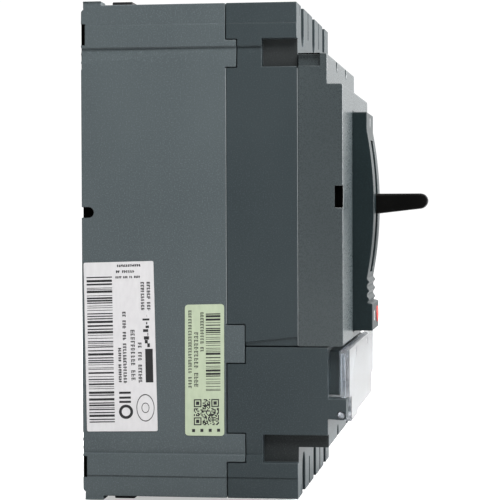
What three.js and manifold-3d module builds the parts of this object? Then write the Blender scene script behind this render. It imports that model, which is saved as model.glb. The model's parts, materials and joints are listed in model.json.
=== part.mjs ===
// Three-pole moulded-case circuit breaker, in millimetres.
// X is the width and +Z points at the line (supply) end. The mounting face lies in the plane Y = 0
// and the front looks along -Y. A "depth" is the distance from the mounting face towards the front,
// so a point's Y is minus its depth. Ranges are written as [low, high].
import * as THREE from "three";
import { mergeVertices } from "three/addons/utils/BufferGeometryUtils.js";
import Module from "manifold-3d";

const wasm = await Module();
wasm.setup();

// Driving sizes of the moulded case
const POLE_PITCH = 35;
const HEIGHT = 161;
const BASE_DEPTH = 47.8; // rear case
const TERMINAL_DEPTH = 71.2; // front of the two terminal ends
const SHOULDER_DEPTH = 81;
const FACE_DEPTH = 86;
const TERMINAL_LENGTH = 16.6; // low ends of the front, measured along the height
const SHOULDER_LENGTH = 9.9;
const TRIP_UNIT_HEIGHT = 49.3;
const SIDE_WALL = 3;
const FRONT_WALL = 2.6;
const PARTITION = 3.5; // between neighbouring poles
const BACK_CHAMFER = 2;

// Gaps
const GAP = 0.3; // between pieces that touch
const HOLE_PLAY = 0.2; // radial play of a pin in its hole
const MOVING_GAP = 0.7; // between a moving piece and a fixed one
const WELD = 0.1; // how far features of one solid run into each other

// Terminals
const WELL_WALL = 10; // between neighbouring terminal wells
const WELL = { back: 8, front: 34, length: 24.5 };
const PAD = { depth: 19.5, thick: 3, sidePlay: 2.5, endSetback: 1.5 };
const STUD = { hole: 8.6, setback: 9.1 }; // bolt hole, measured back from the end of the case
const STRIP_WIDTH = 14;
const DRIVER_SLOT = { width: 8.4 }; // open slot for the tool that tightens the terminal bolt
const BARRIER_SLIT = { width: 2.4, length: 9.5, back: 5 };
const SHIELD_SLIT = { width: 1, length: 2.8, deep: 5, inset: 9.3, setback: 0.7 };
const FIXING = { hole: 5.2, setback: 18 }; // long screws through the whole case
const NUT_CLIP = {
  back: 9.5, inset: 3, proud: 1.5, sidePlay: 0.5, relief: 4, reliefDeep: 2, threadPlay: 0.6,
};

// Contact system
const ROTOR = { depth: 27, radius: 11, width: 19, belowPivot: 7.4, bladePlay: 0.5 };
const BLADE = { half: 24, thick: 4, width: 7, tip: 1, tipLength: 5 };
const ROD = { radius: 2, offset: 7, sideGap: 3.5, windowPlay: 1 };
const FIXED_TIP = { thick: 1.5, length: 6 };
const REST_TILT = 10; // degrees: the blades stand open while the handle rests halfway
const CHUTE = {
  wall: 1.2, plate: 1.5, pitch: 4, sweepGap: 1.3, sidePlay: 2.1, front: 19, low: 16, tail: 44,
  notchHalf: 5.5, notchDeep: 6, endGap: 2, plateInset: 0.5, sides: 40,
};

const LEDGE = { front: 44.4, side: 1, foot: 0.5 }; // step in the rear case that carries the load contact

// Handle and mechanism
const PIVOT = { depth: 45, aboveSplit: 46.6, pin: 2, pinEnd: 0.5 };
const HANDLE = {
  on: 20, off: 22, width: 9, root: 7, tip: 5, reach: 111, heel: 2, heelThick: 3, tipRound: 0.49,
};
const ESCUTCHEON = {
  width: 29, flat: 90.9, crown: 93.3, foot: 92.7, above: 31.3, below: 43.5,
  wall: 1.8, footWall: 1.1, flangeUp: 2,
};
const SHUTTER = { outer: 44.6, thick: 1.6, side: 1.4 };
const YOKE = { thick: 1.2, bridge: 35.2, bridgeThick: 1.6, bridgeSide: 1, leg: 8, plateGap: 0.4, foot: 5 };
const PLATE = {
  inner: 12, thick: 1.3, back: 40.5, up: 26.6, down: 27.4, corner: 8, round: 2,
  ear: 7.5, earInset: 0.5, earReach: 3, shoulder: 7.5, heel: 5.5,
};
const LINK = {
  thick: 1.3, knee: 56, kneePin: 1.7, kneePlay: 1.3, kneeBoss: 4.7, upper: 70, upperPin: 1.5, upperBoss: 3.4,
  crankBoss: 3.6, lowerBoss: 3, rotorGap: 0.5, cradleGap: 0.8,
};
const CRADLE = {
  depth: 48, down: 21.4, cheek: 1.4, inner: 2, tipDepth: 73.5, tipUp: 3.6, foot: 3.6, joint: 3.2, tip: 2,
};
const MAIN_SPRING = { radius: 2, wire: 0.45, turns: 6, x: 7.5, endGap: 3, kneeUp: 1 };

// Trip unit
const COVER_BOX = { front: 88, thick: 1.4, back: 85.2, drop: 16.3, tail: 23.4, topGap: 0.6 };
const EAR = { front: 87, width: 7.5, top: 16.6, bottom: 23.2 };
const HINGE = { depth: 85.2, down: 21.9, radius: 1 };
const DIAL_PANEL = { front: 84.4, side: 5, top: 1.4, bottom: 15.7 };
const DIAL = { radius: 4, back: 79.3, front: 85.2, down: 8.8, x: [-26, -9], slot: 1.2, slotLength: 6 };
const TRIP_BAR = {
  depth: 66, down: 5.8, radius: 2, paddle: 6, paddleLength: 10, paddleGap: 0.8, plate: 1.6, web: 2, lever: 4,
  seat: 1.6, seatGap: 0.4,
};
const BUTTON = {
  x: 7, down: 38.7, radius: 2.8, flange: 3.4, flangeThick: 1.6, stem: 1.5, front: 93.1, back: 71.3,
};
const BUTTON_SPRING = { wire: 0.35, turns: 3 };
const TRIP_ROOM = { top: 2.5, foot: 0.5, barBack: 5, barFront: 7, barDown: 4, lever: 3 };
const HEATER = { depth: 48, thick: 3, top: 6.8 };
const BIMETAL = { depth: 61, thick: 1.2, width: 6, top: 8.3, foot: 1, heel: 6, heelDown: 0.5 };
const ARMATURE = { depth: 56, thick: 1.2, width: 14, top: 10.8, foot: 1.5, pin: 0.9, pinReach: 2 };

// Values that follow from the driving sizes
const TOP = HEIGHT / 2;
const HALF = 1.5 * POLE_PITCH;
const POLES = [-POLE_PITCH, 0, POLE_PITCH];
const SPLIT = -TOP + TRIP_UNIT_HEIGHT; // top of the trip unit
const COVER_BOTTOM = SPLIT + GAP;
const COVER_BACK = BASE_DEPTH + GAP;
const FRAME_BACK = TERMINAL_DEPTH + GAP;
const SHOULDER_TOP = TOP - TERMINAL_LENGTH;
const FACE_TOP = SHOULDER_TOP - SHOULDER_LENGTH;
const WELL_WIDTH = POLE_PITCH - WELL_WALL;
const WELL_END = TOP - WELL.length;
const CAVITY_TOP = WELL_END - SIDE_WALL;
const CAVITY_HALF = (POLE_PITCH - PARTITION) / 2;
const INNER_HALF = HALF - SIDE_WALL;
const PIVOT_Z = SPLIT + PIVOT.aboveSplit;
const ROTOR_Z = PIVOT_Z - ROTOR.belowPivot;
const CAVITY_BOTTOM = ROTOR_Z - CHUTE.tail - CHUTE.endGap;
const LOAD_DEPTH = 2 * ROTOR.depth - PAD.depth; // the load strip mirrors the line strip about the rotor
const STUD_Z = TOP - STUD.setback;
const PAD_WIDTH = WELL_WIDTH - 2 * PAD.sidePlay;
const KNEE_Z = ROTOR_Z;
const RISER = [-WELL_END - PAD.thick + 1, -WELL_END + 1]; // height of the load terminals' step
const LEDGE_BOTTOM = RISER[1] + LEDGE.foot;
const TRIP_INSIDE = { top: SPLIT - TRIP_ROOM.top, bottom: -WELL_END + TRIP_ROOM.foot };
const RADIANS = Math.PI / 180;

// Materials
const finish = (color, roughness, metalness = 0) =>
  new THREE.MeshStandardMaterial({ color, roughness, metalness });
const GREY = finish(0x586064, 0.62);
const DARK_GREY = finish(0x454d50, 0.6);
const BLACK = finish(0x1c2022, 0.5);
const CLEAR = finish(0xdfe3e6, 0.15);
const PAPER = finish(0xd6d4d2, 0.55);
const GREEN_PAPER = finish(0xc5cfae, 0.55);
const DIAL_GREY = finish(0xc9ccce, 0.5);
const RED = finish(0xb3261e, 0.4);
const PHENOLIC = finish(0x8a5a3a, 0.7);
const COPPER = finish(0xb87350, 0.35, 1);
const TINNED = finish(0xc4c6c6, 0.3, 1);
const STEEL = finish(0x9a9c9e, 0.35, 1);
const ZINC = finish(0xa8a9a2, 0.4, 1);

const object = new THREE.Group();

// Puts one piece into the object. A piece may be made about its own origin and placed by at and tilt.
function place(name, piece, material, { at = [0, 0, 0], tilt = 0, parent = object } = {}) {
  const mesh = new THREE.Mesh(geometryOf(piece), material);
  mesh.name = name;
  mesh.position.set(...at);
  mesh.rotation.x = tilt;
  parent.add(mesh);
}

// Solids, cuts and joins
function solid(geometry) {
  geometry.deleteAttribute("normal");
  geometry.deleteAttribute("uv");
  const merged = mergeVertices(geometry, 1e-4);
  const vertProperties = merged.attributes.position.array;
  const triVerts = new Uint32Array(merged.index.array);
  return new wasm.Manifold(new wasm.Mesh({ numProp: 3, vertProperties, triVerts }));
}

function geometryOf(piece) {
  const mesh = piece.getMesh();
  const geometry = new THREE.BufferGeometry();
  geometry.setAttribute("position", new THREE.BufferAttribute(mesh.vertProperties, 3));
  geometry.setIndex(new THREE.BufferAttribute(mesh.triVerts, 1));
  geometry.computeVertexNormals();
  return geometry;
}

const join = (...pieces) => pieces.flat().reduce((all, piece) => all.add(piece));
const cut = (body, ...tools) => body.subtract(join(...tools));
const around = (middle, width) => [middle - width / 2, middle + width / 2];
const sorted = (a, b) => [Math.min(a, b), Math.max(a, b)];

function box([x0, x1], [d0, d1], [z0, z1]) {
  const geometry = new THREE.BoxGeometry(x1 - x0, d1 - d0, z1 - z0);
  return solid(geometry.translate((x0 + x1) / 2, -(d0 + d1) / 2, (z0 + z1) / 2));
}

function rodX(radius, [x0, x1], depth, z, sides = 16) {
  const geometry = new THREE.CylinderGeometry(radius, radius, x1 - x0, sides).rotateZ(Math.PI / 2);
  return solid(geometry.translate((x0 + x1) / 2, -depth, z));
}

function rodY(radius, [d0, d1], x, z, sides = 20) {
  const geometry = new THREE.CylinderGeometry(radius, radius, d1 - d0, sides);
  return solid(geometry.translate(x, -(d0 + d1) / 2, z));
}

// A closed outline from corners [a, b] or [a, b, rounding]
function outline(corners) {
  const points = corners.map(([a, b]) => new THREE.Vector2(a, b));
  const shape = new THREE.Shape();
  corners.forEach(([, , rounding = 0], i) => {
    const here = points[i];
    const before = points.at(i - 1);
    const after = points[(i + 1) % points.length];
    const start = here.clone().lerp(before, rounding / here.distanceTo(before));
    const end = here.clone().lerp(after, rounding / here.distanceTo(after));
    if (i === 0) shape.moveTo(start.x, start.y);
    else shape.lineTo(start.x, start.y);
    if (rounding > 0) shape.quadraticCurveTo(here.x, here.y, end.x, end.y);
  });
  return shape;
}

// The outline of a link: two round ends joined by their outer tangents
function linkOutline([d0, z0], radius0, [d1, z1], radius1) {
  const along = Math.atan2(z1 - z0, d1 - d0);
  const lean = Math.acos((radius0 - radius1) / Math.hypot(d1 - d0, z1 - z0));
  const shape = new THREE.Shape();
  shape.absarc(d0, z0, radius0, along + lean, along - lean + 2 * Math.PI, false);
  shape.absarc(d1, z1, radius1, along - lean, along + lean, false);
  return shape;
}

// A (depth, z) outline carried across the width
function sidePrism(shape, [x0, x1], curveSegments = 5) {
  const geometry = new THREE.ExtrudeGeometry(shape, { depth: x1 - x0, bevelEnabled: false, curveSegments });
  const turn = new THREE.Matrix4().set(0, 0, -1, x1, -1, 0, 0, 0, 0, 1, 0, 0, 0, 0, 0, 1);
  return solid(geometry.applyMatrix4(turn));
}

// An (x, z) outline carried from one depth to another
function frontPrism(shape, [d0, d1], curveSegments = 6) {
  const geometry = new THREE.ExtrudeGeometry(shape, { depth: d1 - d0, bevelEnabled: false, curveSegments });
  const turn = new THREE.Matrix4().set(1, 0, 0, 0, 0, 0, -1, -d0, 0, 1, 0, 0, 0, 0, 0, 1);
  return solid(geometry.applyMatrix4(turn));
}

// A round wire wound about an axis from one point to another
class Winding extends THREE.Curve {
  constructor(start, end, radius, turns) {
    super();
    Object.assign(this, { start, end, radius, turns });
    this.axis = end.clone().sub(start).normalize();
    this.side = new THREE.Vector3(1, 0, 0);
    this.other = this.axis.clone().cross(this.side).normalize();
  }

  getPoint(t) {
    const angle = 2 * Math.PI * this.turns * t;
    return this.start.clone().lerp(this.end, t)
      .addScaledVector(this.side, this.radius * Math.cos(angle))
      .addScaledVector(this.other, this.radius * Math.sin(angle));
  }
}

function coil(start, end, radius, wire, turns, stepsPerTurn = 9) {
  const section = new THREE.Shape().absarc(0, 0, wire, 0, 2 * Math.PI, false);
  const extrudePath = new Winding(start, end, radius, turns);
  const steps = Math.round(turns * stepsPerTurn);
  return solid(new THREE.ExtrudeGeometry(section, { steps, extrudePath, curveSegments: 3 }));
}

// Openings that both ends of the case share. The end is +1 at the line side and -1 at the load side.
const fromEnd = (end, inner, outer) => sorted(end * inner, end * outer);

function driverSlots(end, depths) {
  const middle = end * STUD_Z;
  return POLES.flatMap((x) => [
    box(around(x, DRIVER_SLOT.width), depths, sorted(middle, end * (TOP + 1))),
    rodY(DRIVER_SLOT.width / 2, depths, x, middle),
  ]);
}

function barrierSlits(end, depths) {
  const reach = fromEnd(end, TOP - BARRIER_SLIT.length, TOP + 1);
  return [-0.5, 0.5].map((pole) => box(around(pole * POLE_PITCH, BARRIER_SLIT.width), depths, reach));
}

function shieldSlits(end) {
  const depths = [TERMINAL_DEPTH - SHIELD_SLIT.deep, TERMINAL_DEPTH + 1];
  const high = TOP - SHIELD_SLIT.setback;
  const reach = fromEnd(end, high - SHIELD_SLIT.length, high);
  return [-1, 1].map((side) =>
    box(around(side * (HALF - SHIELD_SLIT.inset), SHIELD_SLIT.width), depths, reach));
}

function fixingHoles(end, depths) {
  const z = end * (TOP - FIXING.setback);
  return [-0.5, 0.5].map((pole) => rodY(FIXING.hole / 2, depths, pole * POLE_PITCH, z));
}

// Strips of both side faces, from a given distance inside the face outwards
const onBothSides = (deep, make) => [
  make([-HALF - 1, -HALF + deep]),
  make([HALF - deep, HALF + 1]),
];

// A finger groove along the side near each end: square at its outer edge and running out inwards
const GROOVE = { outer: 14.1, inner: 19.3, deep: 0.9, front: 59.8 };

function fingerGrooves(end, depths) {
  const outer = end * (TOP - GROOVE.outer);
  const inner = end * (TOP - GROOVE.inner);
  return [-1, 1].map((side) => frontPrism(outline([
    [side * (HALF - GROOVE.deep), outer], [side * (HALF + 1), outer],
    [side * (HALF + 1), inner], [side * HALF, inner],
  ]), depths));
}

// Rear case
const TAB = { deep: 2.4, front: 53.9, topFront: 51.4 };
const TABS = [
  { high: TOP - 12, low: TOP - 20.8, front: TAB.topFront },
  { high: SPLIT + 7.1, low: SPLIT - 5.2, front: TAB.front },
  { high: -TOP + 21, low: -TOP + 11.8, front: TAB.front },
];
const END_LUG = { back: 0.7, front: 6.8, width: 7, proud: 1.3 };
const END_STEP = { setback: 6.7, deep: 0.35 };
const BACK_NOTCH = { deep: 1.3, high: 6.2, low: 13, into: 0.7 };
const BACK_WAVE = { deep: 0.3, low: 21.1, count: 3, middle: 0.6, share: 0.7 };
const CLIP_SLOT = { deep: 4, height: 3.4, aboveMiddle: 12.7, into: 2.4 };

function backEdgeNotches(end) {
  const deepOnes = onBothSides(BACK_NOTCH.into, (x) =>
    box(x, [-1, BACK_NOTCH.deep], fromEnd(end, TOP - BACK_NOTCH.low, TOP - BACK_NOTCH.high)));
  const step = (BACK_WAVE.low - BACK_NOTCH.low) / BACK_WAVE.count;
  const waves = Array.from({ length: BACK_WAVE.count }, (_, i) => {
    const middle = end * (TOP - BACK_NOTCH.low - step * (i + BACK_WAVE.middle));
    const high = around(middle, step * BACK_WAVE.share);
    return onBothSides(BACK_NOTCH.into, (x) => box(x, [-1, BACK_WAVE.deep], high));
  });
  return [...deepOnes, ...waves.flat()];
}

function clipSlots() {
  const round = CLIP_SLOT.height / 2;
  return onBothSides(CLIP_SLOT.into, (x) => join(
    box(x, [-1, CLIP_SLOT.deep - round], around(CLIP_SLOT.aboveMiddle, CLIP_SLOT.height)),
    rodX(round, x, CLIP_SLOT.deep - round, CLIP_SLOT.aboveMiddle),
  ));
}

function poleCavities(x) {
  const left = x < 0 ? -INNER_HALF : x - CAVITY_HALF;
  const right = x > 0 ? INNER_HALF : x + CAVITY_HALF;
  const stripSlot = around(x, STRIP_WIDTH + 2 * GAP);
  return [
    box([left, right], [SIDE_WALL, BASE_DEPTH + 1], [CAVITY_BOTTOM, CAVITY_TOP]),
    box(stripSlot, [PAD.depth - PAD.thick - GAP, PAD.depth + GAP], [CAVITY_TOP - 1, WELL_END + 1]),
    box(around(x, STRIP_WIDTH + 2 * LEDGE.side), [LEDGE.front, BASE_DEPTH + 1],
      [LEDGE_BOTTOM, CAVITY_BOTTOM + 1]),
    box(around(x, STRIP_WIDTH + 2 * LEDGE.side), [PAD.depth - PAD.thick - GAP, BASE_DEPTH + 1],
      [RISER[0] - GAP, LEDGE_BOTTOM + 1]),
  ];
}

function terminalWells(end) {
  return POLES.map((x) =>
    box(around(x, WELL_WIDTH), [WELL.back, WELL.front], fromEnd(end, WELL_END, TOP + 1)));
}

function makeBase() {
  const body = sidePrism(outline([
    [BACK_CHAMFER, -TOP], [BASE_DEPTH, -TOP], [BASE_DEPTH, TOP],
    [BACK_CHAMFER, TOP], [0, TOP - BACK_CHAMFER], [0, -TOP + BACK_CHAMFER],
  ]), [-HALF, HALF]);
  const tabs = TABS.flatMap(({ high, low, front }) => [-1, 1].map((side) =>
    box(sorted(side * HALF, side * (HALF - TAB.deep)), [BASE_DEPTH - 1, front], [low, high])));
  const lugs = [-1, 1].flatMap((end) => [-1, 1].map((side) =>
    box(sorted(side * HALF, side * (HALF - END_LUG.width)), [END_LUG.back, END_LUG.front],
      fromEnd(end, TOP - 1, TOP + END_LUG.proud))));
  const slotDepths = [WELL.front - 1, BASE_DEPTH + 1];
  const ends = [-1, 1].flatMap((end) => [
    ...terminalWells(end),
    ...driverSlots(end, slotDepths),
    ...barrierSlits(end, [BARRIER_SLIT.back, BASE_DEPTH + 1]),
    ...fixingHoles(end, [-1, BASE_DEPTH + 1]),
    ...backEdgeNotches(end),
    ...fingerGrooves(end, [-1, TAB.front + 1]),
    ...onBothSides(END_STEP.deep, (x) =>
      box(x, [-1, BASE_DEPTH + 1], fromEnd(end, TOP - END_STEP.setback, TOP + 1))),
  ]);
  const windowHalf = CAVITY_HALF + PARTITION + 1;
  const shaftWindow = rodX(ROD.offset + ROD.radius + ROD.windowPlay, [-windowHalf, windowHalf],
    ROTOR.depth, ROTOR_Z, 28);
  return cut(join(body, tabs, lugs), ends, POLES.flatMap(poleCavities), shaftWindow, clipSlots());
}

// Front case, above the trip unit
const SIDE_POCKET = { deep: 3, back: 59.8, inner: 20.8, outer: 11.7 };
const WINDOW = { half: 15.6, down: 38.5, wideDown: 30 };
const LEVER_SLOT = { back: 62, side: 1.5 };
const BEVEL = { deep: 0.7, start: 1.2, end: 3.2 };

function tabNotches(tabs) {
  return tabs.flatMap(({ high, low, front }) => onBothSides(TAB.deep + GAP, (x) =>
    box(x, [BASE_DEPTH - 1, front + GAP], [low - GAP, high + GAP])));
}

function sidePockets(end, inner) {
  return onBothSides(SIDE_POCKET.deep, (x) =>
    box(x, [SIDE_POCKET.back, TERMINAL_DEPTH + 1], fromEnd(end, TOP - inner, TOP - SIDE_POCKET.outer)));
}

const SLOT_END_PLAY = 0.4;

// How far the tilted handle's edge stands from the pivot line, up or down, where it leaves the escutcheon
function slotEnd(degrees) {
  const angle = degrees * RADIANS;
  const arm = ESCUTCHEON.crown - PIVOT.depth;
  return arm * Math.tan(angle) + HANDLE.root / (2 * Math.cos(angle)) + SLOT_END_PLAY;
}

// The half angles of the shutter, which covers the slot wherever the handle stands
const SHUTTER_ARM = ESCUTCHEON.flat - PIVOT.depth;
const SHUTTER_UP = Math.asin(slotEnd(HANDLE.on) / SHUTTER_ARM) + HANDLE.off * RADIANS;
const SHUTTER_DOWN = Math.asin(slotEnd(HANDLE.off) / SHUTTER_ARM) + HANDLE.on * RADIANS;
const SHUTTER_WIDTH = HANDLE.width + 2 * SHUTTER.side;

function makeUpperCover() {
  const body = box([-HALF, HALF], [COVER_BACK, TERMINAL_DEPTH], [COVER_BOTTOM, TOP]);
  const inside = box([-INNER_HALF, INNER_HALF], [0, TERMINAL_DEPTH - FRONT_WALL],
    [COVER_BOTTOM + FRONT_WALL, CAVITY_TOP]);
  const shutterTop = SHUTTER.outer * Math.sin(SHUTTER_UP + HANDLE.on * RADIANS);
  const shutterRoom = box([-WINDOW.half, WINDOW.half], [0, TERMINAL_DEPTH + 1],
    [PIVOT_Z, PIVOT_Z + shutterTop + MOVING_GAP]);
  const window = box([-WINDOW.half, WINDOW.half], [0, TERMINAL_DEPTH + 1],
    [PIVOT_Z - WINDOW.wideDown, PIVOT_Z + 1]);
  const windowFoot = box(around(0, SHUTTER_WIDTH + 2 * MOVING_GAP), [0, TERMINAL_DEPTH + 1],
    [PIVOT_Z - WINDOW.down, PIVOT_Z]);
  const stemTop = PIVOT_Z - BUTTON.down + BUTTON.stem;
  const leverSlot = box(around(BUTTON.x, TRIP_BAR.lever + 2 * LEVER_SLOT.side),
    [LEVER_SLOT.back, TERMINAL_DEPTH + 1], [COVER_BOTTOM - 1, stemTop + MOVING_GAP]);
  const bevels = onBothSides(BEVEL.deep, (x) => sidePrism(outline([
    [TAB.front + GAP, COVER_BOTTOM - 1], [TERMINAL_DEPTH + 1, COVER_BOTTOM - 1],
    [TERMINAL_DEPTH + 1, COVER_BOTTOM + BEVEL.end], [TAB.front + GAP, COVER_BOTTOM + BEVEL.start],
  ]), x));
  const step = onBothSides(END_STEP.deep, (x) =>
    box(x, [0, TERMINAL_DEPTH + 1], [TOP - END_STEP.setback, TOP + 1]));
  const through = [0, TERMINAL_DEPTH + 1];
  return cut(body, inside, shutterRoom, window, windowFoot, leverSlot, bevels, step,
    tabNotches(TABS.slice(0, 2)), sidePockets(1, SIDE_POCKET.inner), fingerGrooves(1, [0, GROOVE.front]),
    driverSlots(1, through), barrierSlits(1, through), shieldSlits(1), fixingHoles(1, through));
}

// Front frame around the handle
const FRAME = { wall: 2.4, recess: 1.6, recessFront: 78.6, round: 0.8 };
const SNAP_WINDOW = { back: 83.4, span: [-1.4, 5.6], web: 0.6 };
const FLANGE = { width: 2.7, thick: 1.8 };

function makeFrontFrame() {
  const body = sidePrism(outline([
    [FRAME_BACK, COVER_BOTTOM], [FACE_DEPTH, COVER_BOTTOM, FRAME.round], [FACE_DEPTH, FACE_TOP, FRAME.round],
    [SHOULDER_DEPTH, FACE_TOP], [SHOULDER_DEPTH, SHOULDER_TOP, FRAME.round], [FRAME_BACK, SHOULDER_TOP],
  ]), [-HALF, HALF], 3);
  const innerHalf = HALF - FRAME.wall;
  const bottom = PIVOT_Z - ESCUTCHEON.below - GAP;
  const inside = sidePrism(outline([
    [0, bottom], [FACE_DEPTH - FRAME.wall, bottom], [FACE_DEPTH - FRAME.wall, FACE_TOP - FRAME.wall],
    [SHOULDER_DEPTH - FRAME.wall, FACE_TOP - FRAME.wall],
    [SHOULDER_DEPTH - FRAME.wall, SHOULDER_TOP - FRAME.wall], [0, SHOULDER_TOP - FRAME.wall],
  ]), [-innerHalf, innerHalf]);
  const opening = box(around(0, ESCUTCHEON.width + 2 * GAP), [0, FACE_DEPTH + 1],
    [bottom, PIVOT_Z + ESCUTCHEON.above + GAP]);
  const recesses = onBothSides(FRAME.recess, (x) => sidePrism(outline([
    [0, TOP - SIDE_POCKET.inner], [FRAME.recessFront, TOP - SIDE_POCKET.inner],
    [FRAME.recessFront, SHOULDER_TOP - GAP], [0, SHOULDER_TOP - GAP],
  ]), x));
  const snapWindows = onBothSides(FRAME.wall - SNAP_WINDOW.web, (x) =>
    box(x, [SNAP_WINDOW.back, FACE_DEPTH + 1], SNAP_WINDOW.span.map((up) => PIVOT_Z + up)));
  return cut(body, inside, opening, recesses, snapWindows, fixingHoles(1, [0, SHOULDER_DEPTH + 1]));
}

// Escutcheon: the raised nose that the handle comes out of
const RIDGE = { from: 34.3, to: 25.3, depth: 0.8, count: 3, land: 0.15 };
const SLOT = { sidePlay: 0.75 };

function escutcheonOutline() {
  const low = PIVOT_Z - ESCUTCHEON.below;
  const high = PIVOT_Z + ESCUTCHEON.above;
  const chord = RIDGE.to;
  const rise = ESCUTCHEON.crown - ESCUTCHEON.flat;
  const radius = (chord * chord + rise * rise) / (2 * rise);
  const spread = Math.asin(chord / radius);
  const shape = new THREE.Shape();
  shape.moveTo(FACE_DEPTH - FRAME.wall - GAP, low);
  shape.lineTo(ESCUTCHEON.foot, low);
  shape.lineTo(ESCUTCHEON.foot, PIVOT_Z - RIDGE.from);
  const pitch = (RIDGE.from - RIDGE.to) / RIDGE.count;
  for (let i = 0; i < RIDGE.count; i += 1) {
    const z = PIVOT_Z - RIDGE.from + i * pitch;
    shape.lineTo(ESCUTCHEON.flat, z + pitch * RIDGE.land);
    shape.lineTo(ESCUTCHEON.flat + RIDGE.depth, z + pitch / 2);
    shape.lineTo(ESCUTCHEON.flat, z + pitch * (1 - RIDGE.land));
  }
  shape.absarc(ESCUTCHEON.crown - radius, PIVOT_Z, radius, -spread, spread, false);
  shape.lineTo(ESCUTCHEON.flat, high);
  shape.lineTo(FACE_DEPTH - FRAME.wall - GAP, high);
  return shape;
}

function makeEscutcheon() {
  const { width, wall, footWall, flat, below, above, foot } = ESCUTCHEON;
  const body = sidePrism(escutcheonOutline(), around(0, width), 14);
  const low = PIVOT_Z - below;
  const high = PIVOT_Z + above;
  const flangeDepths = [FACE_DEPTH - FRAME.wall - GAP - FLANGE.thick, FACE_DEPTH - FRAME.wall - GAP + WELD];
  const flange = box(around(0, width + 2 * FLANGE.width), flangeDepths,
    [low + GAP, high + ESCUTCHEON.flangeUp]);
  const inside = box(around(0, width - 2 * wall), [0, flat - wall / 3], [low + footWall, high - wall]);
  const slot = box(around(0, HANDLE.width + 2 * SLOT.sidePlay), [0, ESCUTCHEON.crown + 1],
    [PIVOT_Z - slotEnd(HANDLE.off), PIVOT_Z + slotEnd(HANDLE.on)]);
  const buttonZ = PIVOT_Z - BUTTON.down;
  const buttonHole = rodY(BUTTON.radius + GAP, [flat - wall, foot + 1], BUTTON.x, buttonZ);
  const shelfDepths = [flangeDepths[0], flangeDepths[0] + FLANGE.thick];
  const shelf = cut(box(around(0, width - 2 * wall + 1), shelfDepths, [low + GAP, buttonZ + BUTTON.flange]),
    rodY(BUTTON.stem + GAP, [0, foot], BUTTON.x, buttonZ, 12));
  return join(cut(join(body, flange), inside, slot, buttonHole), shelf);
}

// Handle, with the shutter that keeps the slot closed and the steel yoke that carries both
function makeHandle() {
  const { reach, tip, heel, heelThick } = HANDLE;
  const root = HANDLE.root / 2;
  const top = PIVOT_Z + root;
  const low = PIVOT_Z - root;
  const back = PIVOT.depth + YOKE.bridge + GAP;
  const round = tip * HANDLE.tipRound;
  return sidePrism(outline([
    [back, low - heel], [back + heelThick, low - heel], [back + heelThick, low],
    [ESCUTCHEON.crown, low], [reach, top - tip, round], [reach, top, round],
    [back + heelThick, top], [back + heelThick, top + heel], [back, top + heel],
  ]), around(0, HANDLE.width), 5);
}

function makeShutter() {
  const { outer, thick } = SHUTTER;
  const shape = new THREE.Shape();
  shape.absarc(PIVOT.depth, PIVOT_Z, outer, -SHUTTER_DOWN, SHUTTER_UP, false);
  shape.absarc(PIVOT.depth, PIVOT_Z, outer - thick, SHUTTER_UP, -SHUTTER_DOWN, true);
  const hole = box(around(0, HANDLE.width + 2 * GAP), [PIVOT.depth, PIVOT.depth + outer + 1],
    around(PIVOT_Z, HANDLE.root + 2 * GAP));
  return cut(sidePrism(shape, around(0, SHUTTER_WIDTH), 12), hole);
}

function makeYoke() {
  const inner = PLATE.inner + PLATE.thick + YOKE.plateGap;
  const outer = inner + YOKE.thick;
  const front = PIVOT.depth + YOKE.bridge;
  const back = front - YOKE.bridgeThick;
  const legEnd = [front - YOKE.leg / 2, PIVOT_Z];
  const legs = [-1, 1].map((side) => sidePrism(
    linkOutline([PIVOT.depth, PIVOT_Z], YOKE.leg / 2, legEnd, YOKE.leg / 2),
    sorted(side * inner, side * outer)));
  const feet = [-1, 1].map((side) =>
    box(sorted(side * inner, side * outer), [back - YOKE.foot, front], around(PIVOT_Z, YOKE.leg)));
  const bridge = box([-outer, outer], [back, front], around(PIVOT_Z, YOKE.leg + 2 * YOKE.bridgeSide));
  const pinHole = rodX(PIVOT.pin + HOLE_PLAY, [-outer - 1, outer + 1], PIVOT.depth, PIVOT_Z);
  return cut(join(legs, feet, bridge), pinHole);
}

// Mechanism
const CRADLE_Z = PIVOT_Z - CRADLE.down;

// The side plates end just behind the yoke's bridge, wherever the handle stands
function plateFront() {
  const swing = HANDLE.off * RADIANS;
  const corner = YOKE.leg / 2 + YOKE.bridgeSide;
  const arm = YOKE.bridge - YOKE.bridgeThick;
  return PIVOT.depth + arm * Math.cos(swing) - corner * Math.sin(swing) - MOVING_GAP;
}

function makePlate(side) {
  const { inner, thick, back, up, down, corner, round, ear, earInset, earReach, shoulder, heel } = PLATE;
  const front = plateFront();
  const high = PIVOT_Z + up;
  const low = PIVOT_Z - down;
  const chuteClear = BASE_DEPTH - GAP;
  const sheet = sidePrism(outline([
    [back, low, round], [front - corner / 2, low, round], [front, low + corner, round],
    [front, high - corner, round], [front - corner / 2, high, round], [chuteClear, high, round],
    [chuteClear, PIVOT_Z + shoulder], [back, PIVOT_Z + heel, round],
  ]), sorted(side * inner, side * (inner + thick)), 3);
  const earFront = TERMINAL_DEPTH - FRONT_WALL - GAP;
  const earSpans = [[low + earInset, low + earInset + ear], [high - earInset - ear, high - earInset]];
  const ears = earSpans.map((span) =>
    box(sorted(side * inner, side * (WINDOW.half + earReach)), [earFront - thick, earFront], span));
  const pinX = [-HALF, HALF];
  return cut(join(sheet, ears), rodX(PIVOT.pin + HOLE_PLAY, pinX, PIVOT.depth, PIVOT_Z),
    rodX(PIVOT.pin + HOLE_PLAY, pinX, CRADLE.depth, CRADLE_Z));
}

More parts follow.
